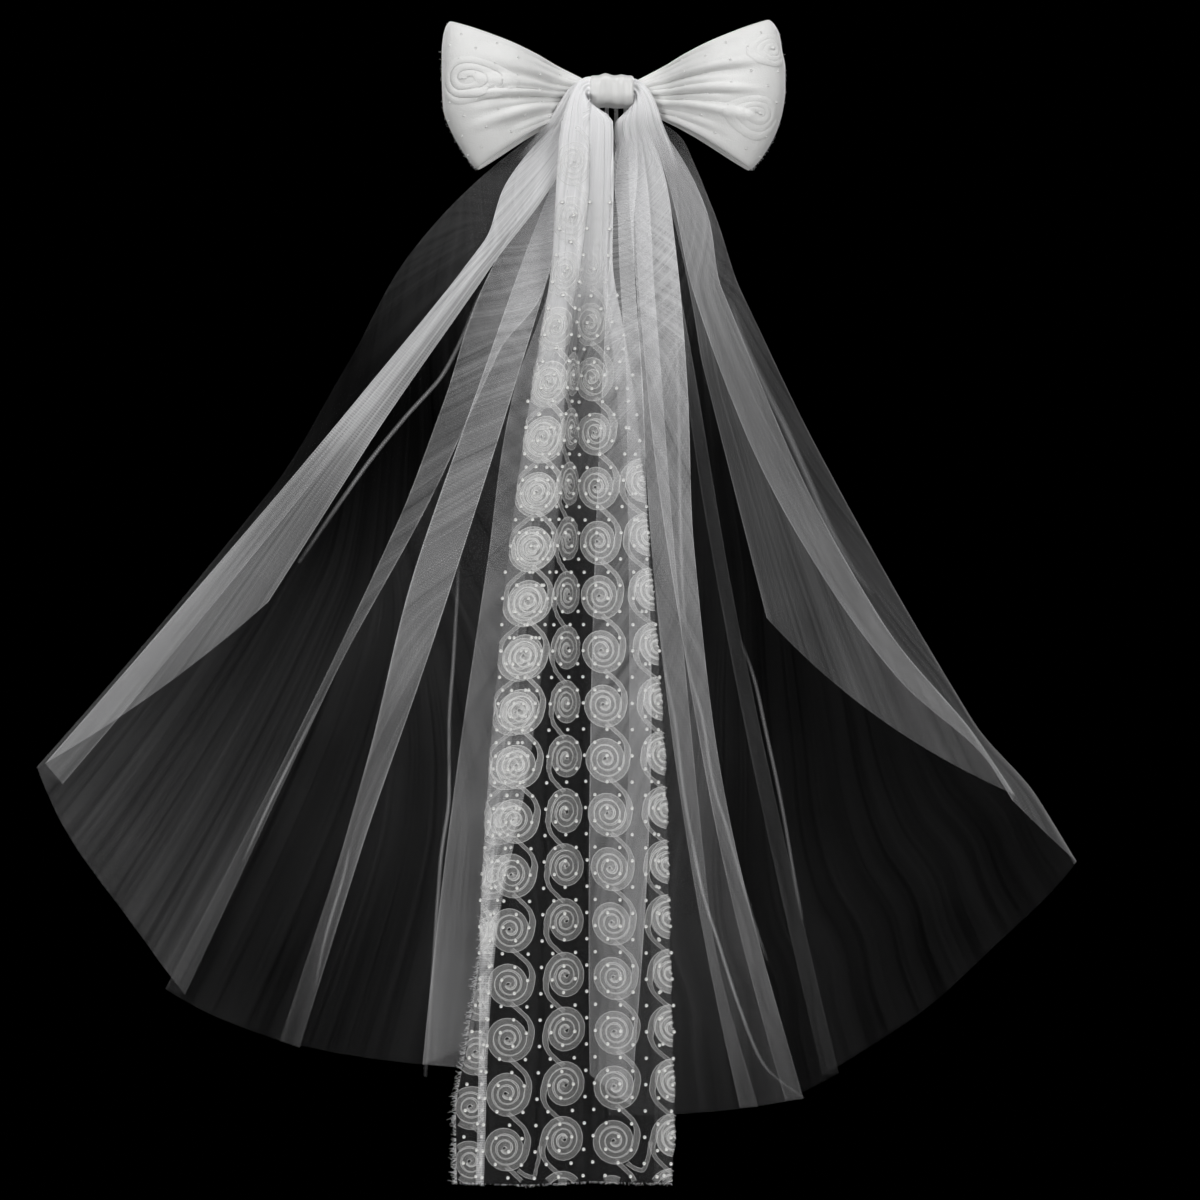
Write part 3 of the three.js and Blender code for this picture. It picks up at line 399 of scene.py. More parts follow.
class Tree:
    """The nodes of a new material."""

    def __init__(self, name):
        self.material = bpy.data.materials.new(name)
        self.material.use_nodes = True
        self.nodes = self.material.node_tree.nodes
        self.links = self.material.node_tree.links

    def feed(self, socket, value):
        if isinstance(value, Value):
            self.links.new(value.socket, socket)
        else:
            socket.default_value = value

    def node(self, kind, settings, sockets, output=0):
        """A node of this kind: its settings first, then the values or links of its sockets."""
        made = self.nodes.new(kind)
        for key, value in settings.items():
            setattr(made, key, value)
        for key, value in sockets.items():
            self.feed(made.inputs[key], value)
        return Value(self, made.outputs[output])

    def number(self, name):
        """A number that the mesh keeps for each of its points."""
        return self.node("ShaderNodeAttribute", {"attribute_name": name}, {}, "Fac")

    def place(self):
        return self.node("ShaderNodeTexCoord", {}, {}, "Object")

    def vector(self, x, y, z=0.0):
        return self.node("ShaderNodeCombineXYZ", {}, {"X": x, "Y": y, "Z": z})

    def stretched(self, vector, scale):
        return self.node("ShaderNodeVectorMath", {"operation": "MULTIPLY"}, {0: vector, 1: scale})

    def noise(self, vector, scale, detail=2.0):
        return self.node("ShaderNodeTexNoise", {}, {"Vector": vector, "Scale": scale, "Detail": detail})

    def tint(self, share, colour, dark):
        """A colour that is this much darker where the share is 0."""
        low = (*(part * dark for part in colour), 1)
        return self.node("ShaderNodeMix", {"data_type": "RGBA"}, {0: share, 6: low, 7: (*colour, 1)}, 2)

    def bump(self, height, strength, distance):
        return self.node("ShaderNodeBump", {}, {"Strength": strength, "Distance": distance, "Height": height})

    def shade(self, sockets):
        """Feed the shader's sockets, and give the finished material."""
        for name, value in sockets.items():
            self.feed(self.nodes["Principled BSDF"].inputs[name], value)
        return self.material


NET_SLANT = 0.58


def net(across, down, cell):
    """The threads of a fine diamond net, from 0 to 1, by the lengths across and down the cloth."""
    turn = 2 * math.pi / cell
    one = ((across + down * NET_SLANT) * turn).sine()
    other = ((across - down * NET_SLANT) * turn).sine()
    return (one * other + 1) * 0.5


def tulle_material(look):
    """Sheer net whose cover grows where it is gathered, with streaks along the gathers."""
    tree = Tree("tulle")
    turn, down = tree.number("turn"), tree.number("down")
    fine = tree.noise(tree.vector(turn * 150, down * 2.2), 1.0, 3.0) - 0.5
    broad = tree.noise(tree.vector(turn * 34, down * 2.4, 4.0), 1.0) - 0.5
    patch = tree.noise(tree.place(), 11.0, 3.0) - 0.5
    streaks = fine * 1.5 + broad * 1.5 + patch * 0.9 + 1
    open_net = (down * 6 - 0.6).clamped()
    threads = (net(turn * down, down, 2.1 * MM) - 0.5) * open_net * 0.5 + 1
    cover = (tree.number("cover") * streaks * threads).clamped()
    return tree.shade({
        "Base Color": tree.tint(broad + 0.5, look.tulle, 0.94),
        "Roughness": 0.9,
        "Specular IOR Level": 0.1,
        "Alpha": cover,
    })


def lace_material(look):
    """The lace's net ground, bunched to a solid white near the knot."""
    tree = Tree("lace_net")
    across, down = tree.number("turn"), tree.number("down")
    open_net = (down * 4.5 - 0.6).clamped()
    threads = (net(across, down, 1.7 * MM) - 0.5) * open_net * 0.6 + 1
    streaks = (tree.noise(tree.vector(across * 400, down * 14), 1.0, 3.0) - 0.5) * 1.4 + 1
    cover = (tree.number("cover") * threads * streaks).clamped()
    return tree.shade({
        "Base Color": tree.tint(streaks.clamped(), look.lace, 0.88),
        "Roughness": 0.85,
        "Specular IOR Level": 0.15,
        "Alpha": cover,
    })


def organza_material(look):
    """Sheer ribbon with dense woven edges and a see-through middle."""
    tree = Tree("organza_ribbon")
    edge, down = tree.number("edge"), tree.number("down")
    weave = tree.noise(tree.vector(down * 1100, edge * 5), 1.0) - 0.5
    cover = (tree.number("cover") * (edge * 0.55 + 0.15) * (weave * 0.9 + 1)).clamped()
    return tree.shade({
        "Base Color": tree.tint(weave + 0.5, look.ribbon, 0.9),
        "Roughness": 0.5,
        "Specular IOR Level": 0.35,
        "Alpha": cover,
    })


def bow_material(look):
    """Padded cloth: lace drawn over a white lining, with soft slubs in its weave."""
    tree = Tree("bow_cloth")
    place = tree.place()
    slub = tree.noise(place, 70.0, 4.0)
    weave = tree.noise(place, 1300.0)
    return tree.shade({
        "Base Color": tree.tint(slub, look.bow, 0.88),
        "Roughness": slub * 0.2 + 0.55,
        "Specular IOR Level": 0.3,
        "Normal": tree.bump(weave * 0.4 + slub, 0.5, 1.2 * MM),
    })


def satin_material(look):
    """Smooth satin with fine threads along the band."""
    tree = Tree("satin")
    threads = tree.noise(tree.stretched(tree.place(), (60, 4, 4)), 30.0, 3.0)
    return tree.shade({
        "Base Color": tree.tint(threads, look.satin, 0.9),
        "Roughness": threads * 0.16 + 0.26,
        "Specular IOR Level": 0.55,
        "Normal": tree.bump(threads, 0.3, 0.4 * MM),
    })


def pearl_material(look):
    """Small pearly beads."""
    tree = Tree("pearl_dots")
    cloud = tree.noise(tree.place(), 500.0)
    return tree.shade({
        "Base Color": tree.tint(cloud, look.pearl, 0.92),
        "Roughness": cloud * 0.2 + 0.25,
    })


def thread_material(look):
    """Loose white threads."""
    tree = Tree("loose_threads")
    twist = tree.noise(tree.place(), 900.0)
    return tree.shade({
        "Base Color": tree.tint(twist, look.lace, 0.8),
        "Roughness": 0.8,
    })


def comb_material(look):
    """Moulded plastic with the faint flow lines of its mould."""
    tree = Tree("comb_plastic")
    flow = tree.noise(tree.stretched(tree.place(), (60, 60, 300)), 3.0, 3.0)
    return tree.shade({
        "Base Color": tree.tint(flow, look.comb, 0.92),
        "Roughness": flow * 0.15 + 0.22,
        "Transmission Weight": 0.85,
        "Normal": tree.bump(flow, 0.12, 0.2 * MM),
    })


def floor_material(look):
    """Pale smooth plaster."""
    tree = Tree("floor")
    grain = tree.noise(tree.place(), 40.0, 4.0)
    return tree.shade({
        "Base Color": tree.tint(grain, look.floor, 0.97),
        "Roughness": grain * 0.1 + 0.75,
    })


# How finely the cloth is made: rows down a fall and how they crowd towards the knot, degrees between its
# points, the fewest strips between two folds, and the least turn that the cloth makes from fold to fold
FALL_ROWS = 110
ROW_CROWDING = 1.15
FINE_ANGLE = 0.5
FEWEST_STRIPS = 5
LEAST_TURN = 1.5
# The small ripple of the pleats, the reach over which it grows, and how much more a fold and a cut edge
# cover than the cloth beside them, which paints a highlight along each fold and cut edge
RIPPLE_TURNS = 2.6
RIPPLE_GROWS = (0.05, 0.2)
FOLD_HIGHLIGHT = 1.8
EDGE_HIGHLIGHT = 2
# The reach of a fall's first row, as a share of it
KNOT_REACH = 0.003
# The painted highlight lines: steps for each point of their path, how their ends fade, how far they lie in
# front of the cloth, and how far their middle stands out
HIGHLIGHT_STEPS = 8
HIGHLIGHT_TAPER = 0.6
HIGHLIGHT_LIFT = 1.2 * MM
HIGHLIGHT_RIDGE = 0.5 * MM
# The shares of a fall that three or four numbers of its cover stand at
COVER_PLACES = {3: (0.06, 0.38, 1), 4: (0.06, 0.36, 0.5, 1)}


def depth_range(fall, radius):
    """How far forward and back the cloth of a fall lies at a reach from the knot."""
    forward = smoothstep(radius, 0, LOOSE_REACH)
    backward = smoothstep(radius, *(LOOSE_REACH * share for share in BACK_SETTLES))
    return mix(GATHER_FRONT, fall.front, forward), mix(GATHER_BACK, VEIL_BACK, backward)


def wave(angle, radius):
    """The slow waves of the whole fall, the same for every layer of it."""
    grown = smoothstep(radius, *(LOOSE_REACH * share for share in WAVE_GROWS))
    outward = smoothstep(abs(angle), *WAVE_FROM)
    return -WAVE_DEPTH * grown * outward * (1 + math.sin(angle / WAVE_ANGLE * math.pi * 2)) / 2


def fall_place(fall, angle, radius, depth, lift=0.0):
    """A point of a fall by its angle from straight down, its reach and its depth."""
    front, back = depth_range(fall, radius)
    turn = math.radians(angle)
    return Vector((
        fall.side * KNOT_SIDE + radius * math.sin(turn),
        mix(front, back, depth) + wave(angle, radius) + lift,
        FALL_TOP - radius * math.cos(turn),
    ))


def fall_cover(fold, reach):
    """How much the cloth beside a fold covers at a share of the fall."""
    return along(tuple(zip(COVER_PLACES[len(fold.cover)], fold.cover)), reach)


def panel_parts(first, second):
    """Into how many strips the cloth between two folds is made."""
    places = [place for place, _ in first.angle + second.angle]
    widest = max(abs(along(first.angle, place) - along(second.angle, place)) for place in places)
    return max(FEWEST_STRIPS, round(widest / FINE_ANGLE))


def fall_row(fall, step, ripple):
    """One row across a fall: each point with its turn along the cloth, its reach and its cover."""
    folds = fall.folds
    last = len(folds) - 1
    at = []
    for fold in folds:
        radius = fall.length * fold.reach * step
        at.append((radius, along(fold.angle, radius / fall.length), fold.depth))
    row = []
    turned = 0.0

    def add(angle, radius, depth, lift, turn, cover):
        rippled = lift + ripple * math.sin(turn * RIPPLE_TURNS) * smoothstep(radius, *RIPPLE_GROWS)
        row.append((fall_place(fall, angle, radius, depth, rippled), math.radians(turn), radius, cover))

    for k, (radius, angle, depth) in enumerate(at):
        beside = (folds[max(k - 1, 0)], folds[min(k, last - 1)])
        cover = max(fall_cover(fold, radius / fall.length) for fold in beside)
        # a fold or a cut edge gets extra cover: a painted highlight along it
        if k in (0, last):
            add(angle, radius, depth, 0, turned, cover * EDGE_HIGHLIGHT)
        else:
            deeper = math.copysign(FOLD_TIP, at[k + 1][2] - at[k - 1][2])
            add(angle, radius, depth, -deeper, turned, cover * FOLD_HIGHLIGHT)
            add(angle, radius, depth, deeper, turned, cover * FOLD_HIGHLIGHT)
        if k == last:
            break
        far, end, deep = at[k + 1]
        width = max(abs(end - angle), LEAST_TURN)
        parts = panel_parts(folds[k], folds[k + 1])
        for i in range(1, parts):
            share = i / parts
            reach = mix(radius, far, share)
            add(mix(angle, end, share), reach, mix(depth, deep, share), 0, turned + width * share,
                fall_cover(folds[k], reach / fall.length))
        turned += width
    return row


def add_fall(name, fall, material, ripple):
    """One fall of the tulle, a single cloth folded to and fro across it."""
    parts = Parts("turn", "down", "cover")
    steps = [mix(KNOT_REACH, 1, (i / FALL_ROWS) ** ROW_CROWDING) for i in range(FALL_ROWS + 1)]
    parts.add_rows([fall_row(fall, step, ripple) for step in steps])
    return parts.piece(name, material, "tulle")


def front_layer(fall, angle, radius):
    """The depth of the front-most cloth of a fall at an angle and a reach."""
    depths = []
    for first, second in zip(fall.folds, fall.folds[1:]):
        a = along(first.angle, radius / fall.length)
        b = along(second.angle, radius / fall.length)
        if min(a, b) <= angle <= max(a, b) and radius < fall.length * min(first.reach, second.reach):
            depths.append(mix(first.depth, second.depth, (angle - a) / (b - a or 1)))
    return min(depths, default=0.5)


def numbers_at(rows, place):
    """The numbers at a place along rows of them, the first row at 0 and the next at 1."""
    return [along(tuple(enumerate(values)), place) for values in zip(*rows)]


def smooth_path(path, steps):
    """Evenly numbered points on a smooth curve through chosen ones."""
    last = len(path) - 1
    return [numbers_at(path, last * i / steps) for i in range(steps + 1)]


def crease_highlight_rows(crease):
    """A painted highlight line on the front of the tulle as rows of three points."""
    fall = LEFT_FALL if crease.path[0][0] < PHOTO_MIDDLE[0] else RIGHT_FALL
    rows = []
    steps = HIGHLIGHT_STEPS * len(crease.path)
    for i, (px, py) in enumerate(smooth_path(crease.path, steps)):
        x = (px - PHOTO_MIDDLE[0]) * PIXEL - fall.side * KNOT_SIDE
        z = (PHOTO_MIDDLE[1] - py) * PIXEL - FALL_TOP
        radius = math.hypot(x, z)
        middle = math.degrees(math.atan2(x, -z))
        depth = front_layer(fall, middle, radius)
        half = math.degrees(crease.width * MM / 2 / radius)
        ends = math.sin(math.pi * min(max(i / steps, 0.02), 0.98)) ** HIGHLIGHT_TAPER
        row = []
        for share in (-1, 0, 1):
            angle = middle + share * half
            ridge = HIGHLIGHT_RIDGE if share == 0 else 0
            # the middle of each line carries the extra cover of a painted highlight
            cover = crease.cover * ends if share == 0 else 0
            point = fall_place(fall, angle, radius, depth, -HIGHLIGHT_LIFT - ridge)
            row.append((point, math.radians(angle), radius, cover))
        rows.append(row)
    return rows


def add_crease_highlights(material):
    """The painted highlight lines along the sharpest folds."""
    parts = Parts("turn", "down", "cover")
    for crease in CREASE_HIGHLIGHTS:
        parts.add_rows(crease_highlight_rows(crease))
    return parts.piece("veil_creases", material, "tulle")


# A gathered bundle from the knot outwards: its middle, the way that it heads in the picture, its half
# width and half depth, and how much it covers
Bunch = namedtuple("Bunch", "middle heads half_width half_depth cover")
BUNCH_ROWS = 60
BUNCH_POINTS = 168
# The pleats round a bundle: how deep, how far they wander aside and how they turn on the way down
BUNCH_PLEATS = 14
PLEAT_RELIEF = 0.13
PLEAT_WANDER = 1.3
PLEAT_TWIST = 25


def add_bunch(parts, bunches):
    """A pleated tube through the bunches, on a smooth line."""
    last = len(bunches) - 1
    numbers = [(*b.middle, b.heads, b.half_width, b.half_depth, b.cover) for b in bunches]
    rows = []
    for x, y, z, heads, half_width, half_depth, cover in smooth_path(numbers, BUNCH_ROWS):
        heading = math.radians(heads)
        across = Vector((math.cos(heading), 0, math.sin(heading)))
        row = []
        for i in range(BUNCH_POINTS):
            turn = 2 * math.pi * i / BUNCH_POINTS
            pleat = math.sin(turn * BUNCH_PLEATS + PLEAT_WANDER * math.sin(turn * 3) + z * PLEAT_TWIST)
            ridge = 1 - PLEAT_RELIEF * (0.5 + 0.5 * pleat)
            point = Vector((x, y, z)) + across * half_width * ridge * math.cos(turn)
            point.y += half_depth * ridge * math.sin(turn)
            row.append((point, turn, -z, cover))
        rows.append(row)
    parts.add_rows(rows, closed=True)


def bunch_between(left, right, y, half_depth, cover):
    """A bunch by the left and the right end of its section, in millimetres."""
    (x0, z0), (x1, z1) = left, right
    heads = math.degrees(math.atan2(z1 - z0, x1 - x0))
    middle = ((x0 + x1) / 2 * MM, y, (z0 + z1) / 2 * MM)
    return Bunch(middle, heads, math.dist(left, right) / 2 * MM, half_depth, cover)


def add_gathers(material):
    """The tulle drawn through the knot, and out of it to both sides."""
    parts = Parts("turn", "down", "cover")
    for fall, bundle in ((LEFT_FALL, LEFT_BUNDLE), (RIGHT_FALL, RIGHT_BUNDLE)):
        bunches = []
        for left, right, reach, deep, forward, cover in bundle:
            front, back = depth_range(fall, reach * MM)
            y = (front + back) / 2 - forward * MM
            bunches.append(bunch_between(left, right, y, (back - front) / 2 * deep, cover))
        add_bunch(parts, bunches)
    return parts.piece("veil_gathers", material, "tulle")


# The bundles of tulle from the knot outwards: the left and the right end of each section (across and up
# from the knot's middle) and its reach from the knot, its depth as a share of the cloth's, how far it bows
# forward, and how much it covers; lengths in millimetres
LEFT_BUNDLE = (
    ((-4, 8.4), (-4, -8.4), 0, 1, 0, 0.9),
    ((-14.2, 8.4), (-14.2, -8.4), 0, 1, 0, 0.9),
    ((-26, 3), (-16, -12), 11, 0.86, 3.5, 0.7),
    ((-36, -12), (-18, -24), 22, 0.8, 8, 0.5),
    ((-48, -28), (-20, -40), 38, 0.78, 6, 0.25),
    ((-62, -44), (-24, -60), 56, 0.6, 2, 0),
)
RIGHT_BUNDLE = (
    ((4, -8.4), (4, 8.4), 0, 1, 0, 0.9),
    ((14.2, -8.4), (14.2, 8.4), 0, 1, 0, 0.9),
    ((11, -12), (22, 3), 11, 0.86, 3.5, 0.75),
    ((6.5, -16), (28, -7), 18, 0.8, 6, 0.65),
    ((2.2, -22), (32, -19), 25, 0.8, 8, 0.5),
    ((2.5, -37), (38, -34), 38, 0.78, 6, 0.25),
    ((3, -56), (44, -52), 56, 0.6, 2, 0),
)


LACE_CURVES = {
    fold.name: tuple((row.drop, getattr(row, fold.name)) for row in LACE_ROWS) for fold in LACE_FOLDS
}
LACE_SPREAD = tuple((row.drop, row.spread) for row in LACE_ROWS)
LACE_FORWARD = tuple((row.drop, row.bulge) for row in LACE_ROWS)
# How much the lace's ground covers at shares of its drop
LACE_COVER = ((0, 0.85), (0.12, 0.68), (0.22, 0.36), (0.32, 0.12), (0.45, 0.03), (1, 0.02))
# and how much the narrow strip folded back along its left side adds, lower down, between these points of
# the section
STRIP_COVER = ((0.5, 0), (0.68, 0.22), (1, 0.3))
STRIP = range(2, 4)
# Rows down the lace, and points from one point of the section to the next
LACE_ROW_COUNT = 150
LACE_POINTS = 7
# Where the cloth starts, below the middle of the knot, and where it leaves the knot, as shares of its drop
LACE_TOP = 0.004
LACE_MOUTH = (0.011, 0.03)
# The length of cloth that is rounded over a fold, to each side
FOLD_ROUNDING = 1.6 * MM


def lace_section(drop):
    """The folded cloth across the lace at a share of its drop: points from its cut edge to its flap."""
    share = along(LACE_SPREAD, drop)
    back = mix(LACE_NECK_BACK, LACE_FRONT + LACE_DEPTH, share)
    forward = LACE_BULGE * along(LACE_FORWARD, drop)
    section = []
    for fold in LACE_FOLDS:
        x = mix(-KNOT_SIDE, LACE_WIDTH * along(LACE_CURVES[fold.name], drop), smoothstep(drop, *LACE_MOUTH))
        y = mix(LACE_FRONT, back, fold.depth) - forward
        tips = (-1, 1) if fold.turns else (0,)
        section += [Vector((x, y + tip * fold.turns * FOLD_TIP, 0)) for tip in tips]
    return section


class LaceSection:
    """The section at one drop, with its length along the cloth."""

    def __init__(self, drop):
        self.points = lace_section(drop)
        self.lengths = [0.0]
        for a, b in zip(self.points, self.points[1:]):
            self.lengths.append(self.lengths[-1] + (b - a).length)
        lengths = iter(self.lengths)
        self.folds = {}
        for fold in LACE_FOLDS:
            tips = [next(lengths) for _ in range(2 if fold.turns else 1)]
            self.folds[fold.name] = sum(tips) / len(tips)

    def middle(self, folds):
        return sum(self.folds[name] for name in folds) / len(folds)

    def point(self, length):
        """A point along the cloth and the way that it runs there."""
        length = min(max(length, 0), self.lengths[-1] * 0.9999)
        i = next(i for i in range(len(self.points) - 1) if self.lengths[i + 1] > length)
        run = self.points[i + 1] - self.points[i]
        return self.points[i] + run * ((length - self.lengths[i]) / (run.length or 1)), run


LACE_SECTIONS = {}


def section_at(down):
    """The section nearest to a place down the lace, kept for the next time."""
    key = round(min(max(down / LACE_DROP, LACE_TOP), 1) * 1000)
    if key not in LACE_SECTIONS:
        LACE_SECTIONS[key] = LaceSection(key / 1000)
    return LACE_SECTIONS[key]


def lace_point(down, length, lift):
    """A point on the lace's face, raised from it; the cloth is rounded over its folds."""
    section = section_at(down)
    here = Vector()
    normal = Vector()
    for share in (-1, -0.5, 0, 0.5, 1):
        point, run = section.point(length + share * FOLD_ROUNDING)
        here += point / 5
        normal += Vector((run.y, -run.x, 0)).normalized()
    if normal.length < 0.1:
        normal = Vector((run.y, -run.x, 0))
    here += normal.normalized() * lift
    here.z = -down
    return here


def add_lace_net(material):
    """The lace's ground: one cloth, folded lengthwise and gathered at the top."""
    parts = Parts("turn", "down", "cover")
    rows = []
    for i in range(LACE_ROW_COUNT + 1):
        drop = mix(LACE_TOP, 1, i / LACE_ROW_COUNT)
        section = LaceSection(drop)
        cover, strip = along(LACE_COVER, drop), along(STRIP_COVER, drop)
        row = []
        last = len(section.points) - 1
        for j in range(last * LACE_POINTS + 1):
            k, share = divmod(j, LACE_POINTS)
            after = min(k + 1, last)
            point = section.points[k].lerp(section.points[after], share / LACE_POINTS)
            point.z = -drop * LACE_DROP
            length = mix(section.lengths[k], section.lengths[after], share / LACE_POINTS)
            row.append((point, length, -point.z, cover + (strip if k in STRIP else 0)))
        rows.append(row)
    parts.add_rows(rows)
    return parts.piece("lace_net", material, "lace_net")


# A rosette: its spiral's turns and innermost radius, how the turns crowd outwards, how far and how often
# it may wobble, and steps in a turn
ROSETTE_TURNS = 3.4
ROSETTE_CORE = 1.1 * MM
TURN_CROWDING = 0.95
WOBBLE = (0.01, 0.035)
WOBBLE_TURNS = 1.7
RIBBON_STEPS = 26
# Points across the ribbon, each with its place and how dense the weave is there; how high the ribbon lies
# on the cloth, how far its inner edge stands up, and its ruffles
RIBBON_ACROSS = ((-1, 1.0), (-0.82, 0.1), (0, 0.0), (0.82, 0.1), (1, 1.0))
RIBBON_LIFT = 0.7 * MM
RIBBON_STAND = 0.7 * MM
RUFFLE = 0.3 * MM
RUFFLES = 17
# The ribbon on its way from the rosette above to the side of the next: places across and down from the
# next one's middle, in shares of its outer turn, the first from the middle of the one above
LINK_START = (0.08, 0.9)
LINK = ((0.5, -1.3), (0.93, -0.86), (1.07, -0.4), (1, 0))
LINK_STEPS = 12
LINK_WIDTH = 0.55
# How much denser the ribbon is bunched in the middle of a rosette, and where on its path that starts
CORE_DENSITY = 0.9
CORE_SHARE = 0.76
# How dense the ribbon looks at shares of the lace's drop
RIBBON_COVER = ((0, 0.8), (0.3, 1.4), (0.55, 1.45), (0.75, 1.1), (1, 0.92))
# The rosettes are squeezed where the lace is bunched: the shares of its drop over which that sets in, and
# the least width that is left; no two are quite as wide or as tall
BUNCHED = (0.42, 0.1)
SQUEEZE = 0.8
WIDTHS = (0.96, 1.02)
HEIGHTS = (0.97, 1.02)
# The ribbon is cut off this far inside the cloth's edges, and where the lace goes into the knot
RIBBON_INSET = 1 * MM
HEM_INSET = 0.5 * MM
RIBBON_TOP = 0.03


def rosette_path(comes, width, draw):
    """The ribbon in the cloth, from the rosette before, then wound clockwise to the middle: its places
    across and down, its width and its density as shares."""
    outer = ROSETTE_RADIUS - width / 2
    start = (LINK_START[0] * outer, LINK_START[1] * outer - ROSETTE_PITCH)
    link = smooth_path([start, *((a * outer, down * outer) for a, down in LINK)], LINK_STEPS)
    path = []
    for i, (a, down) in enumerate(link):
        path.append((a, down, mix(LINK_WIDTH, 1, smoothstep(i, LINK_STEPS * 0.4, LINK_STEPS)), 1))
    steps = round(ROSETTE_TURNS * RIBBON_STEPS)
    phase = draw.uniform(0, 6)
    wobble = draw.uniform(*WOBBLE)
    for i in range(1, steps + 1):
        turn = 2 * math.pi * ROSETTE_TURNS * i / steps
        radius = mix(outer, ROSETTE_CORE, (i / steps) ** TURN_CROWDING)
        aside = math.sin(turn * WOBBLE_TURNS + phase) - math.sin(phase)
        radius *= 1 + wobble * aside * smoothstep(i / steps, 0, 0.2)
        dense = 1 + CORE_DENSITY * smoothstep(i / steps, CORE_SHARE, 1)
        path.append((radius * math.cos(turn), radius * math.sin(turn), 1, dense))
    return [(a * comes, down * comes, wide, dense) for a, down, wide, dense in path]


def ribbon_rows(path, width, cover):
    """A ribbon along a path on the lace, its inner edge standing up a little, as gathered ribbon does."""
    rows = []
    run = 0.0
    last = len(path) - 1
    for i, (a, down, wide, dense) in enumerate(path):
        before, after = path[max(i - 1, 0)][:2], path[min(i + 1, last)][:2]
        way = Vector((after[0] - before[0], after[1] - before[1])).normalized()
        run += math.dist(before, (a, down))
        row = []
        for share, edge in RIBBON_ACROSS:
            aside = share * wide * width / 2
            ruffle = RUFFLE * math.sin(run / width * RUFFLES / 4 + share)
            lift = RIBBON_LIFT + RIBBON_STAND * (0.5 + 0.5 * share) + ruffle
            row.append((lace_point(down + way.x * aside, a - way.y * aside, lift), edge, run, cover * dense))
        rows.append(row)
    return rows


def add_ribbon(parts, path, width, cover):
    """The parts of a ribbon's path (length along the cloth, place down it, ...) that lie on the lace."""
    kept = []
    for length, down, *looks in [*path, (0, 0)]:
        wide = section_at(down).lengths[-1]
        on_drop = RIBBON_TOP * LACE_DROP < down < LACE_DROP - HEM_INSET
        if on_drop and RIBBON_INSET < length < wide - RIBBON_INSET:
            kept.append((length, down, *looks))
            continue
        if len(kept) > 1:
            parts.add_rows(ribbon_rows(kept, width, cover))
        kept = []


def add_rosettes(column, material, width):
    """One column of ribbon rosettes, joined by the ribbon that runs from each to the next."""
    parts = Parts("edge", "down", "cover")
    draw = random.Random(f"{SEED} {column.name}")
    for index in range(-1, column.count):
        centre = LACE_DROP - column.lowest * MM - ROSETTE_PITCH * index
        squeeze = mix(1, SQUEEZE, smoothstep(centre / LACE_DROP, *BUNCHED)) * draw.uniform(*WIDTHS)
        tall = draw.uniform(*HEIGHTS)
        path = []
        for a, down, *looks in rosette_path(column.comes, width, draw):
            at = centre + down * tall
            path.append((section_at(at).middle(column.folds) + a * squeeze, at, *looks))
        add_ribbon(parts, path, width, along(RIBBON_COVER, centre / LACE_DROP))
    return parts.piece(column.name, material, "ribbon")


# Where the ribbon turns round at the cut edge and passes to the next column: the two columns, and its
# places on the way, in shares of a rosette's radius from the first column's lowest middle and then from
# the second's
TURNS = ((1, 2), (3, 4))
TURN_STEPS = 24
TURN_FIRST = ((0.5, 0.86), (0.8, 1.06), (1.1, 1.14))
TURN_SECOND = ((-1.16, 1.02), (-1.06, 0.7), (-0.98, 0.2))


def add_ribbon_turns(material, width):
    """Where the ribbon turns round below the last rosettes and passes to the next column."""
    parts = Parts("edge", "down", "cover")
    for first, second in TURNS:
        points = []
        for column, places in ((COLUMNS[first], TURN_FIRST), (COLUMNS[second], TURN_SECOND)):
            centre = LACE_DROP - column.lowest * MM
            middle = section_at(centre).middle(column.folds)
            points += [(middle + a * ROSETTE_RADIUS, centre + down * ROSETTE_RADIUS) for a, down in places]
        path = [(*at, LINK_WIDTH, 1) for at in smooth_path(points, TURN_STEPS)]
        add_ribbon(parts, path, width, RIBBON_COVER[-1][1])
    return parts.piece("ribbon_turns", material, "ribbon")


def ball(radius, rings=4, around=7):
    """A small round bead's points and faces."""
    points = [Vector((0, 0, radius))]
    for i in range(1, rings):
        turn = math.pi * i / rings
        for j in range(around):
            swing = 2 * math.pi * j / around
            points.append(Vector((math.cos(swing), math.sin(swing), 0)) * radius * math.sin(turn))
            points[-1].z = radius * math.cos(turn)
    points.append(Vector((0, 0, -radius)))
    faces = [(0, 1 + j, 1 + (j + 1) % around) for j in range(around)]
    faces += grid_faces(rings - 1, around, 1, closed=True)
    low = 1 + (rings - 2) * around
    faces += [(len(points) - 1, low + (j + 1) % around, low + j) for j in range(around)]
    return points, faces


# The dots on the lace: places of the lattice to the left and right of the second fold, how far they keep
# from the cloth's edges where it is bunched and where it is open, the shares of the drop between the two,
# and where the highest may be
DOT_PLACES = range(-12, 24)
DOT_INSETS = (9 * MM, 2 * MM)
DOT_OPENS = (0.15, 0.3)
DOT_TOP = 0.1


def add_dots(material, radius):
    """The pearl dots on the lace, on a diamond lattice."""
    parts = Parts()
    points, faces = ball(radius)
    for j in range(2, int(LACE_DROP / DOT_STEP)):
        down = LACE_DROP - (j - 1.5) * DOT_STEP
        if down < LACE_DROP * DOT_TOP:
            continue
        section = section_at(down)
        inset = mix(*DOT_INSETS, smoothstep(down / LACE_DROP, *DOT_OPENS))
        for i in DOT_PLACES:
            length = section.folds["second"] + i * DOT_STEP
            if (i + j) % 2 == 0 and inset < length < section.lengths[-1] - inset:
                parts.add_copy(points, faces, lace_point(down, length, radius * 0.8 + RIBBON_STAND))
    return parts.piece("pearl_dots", material, "lace_net")


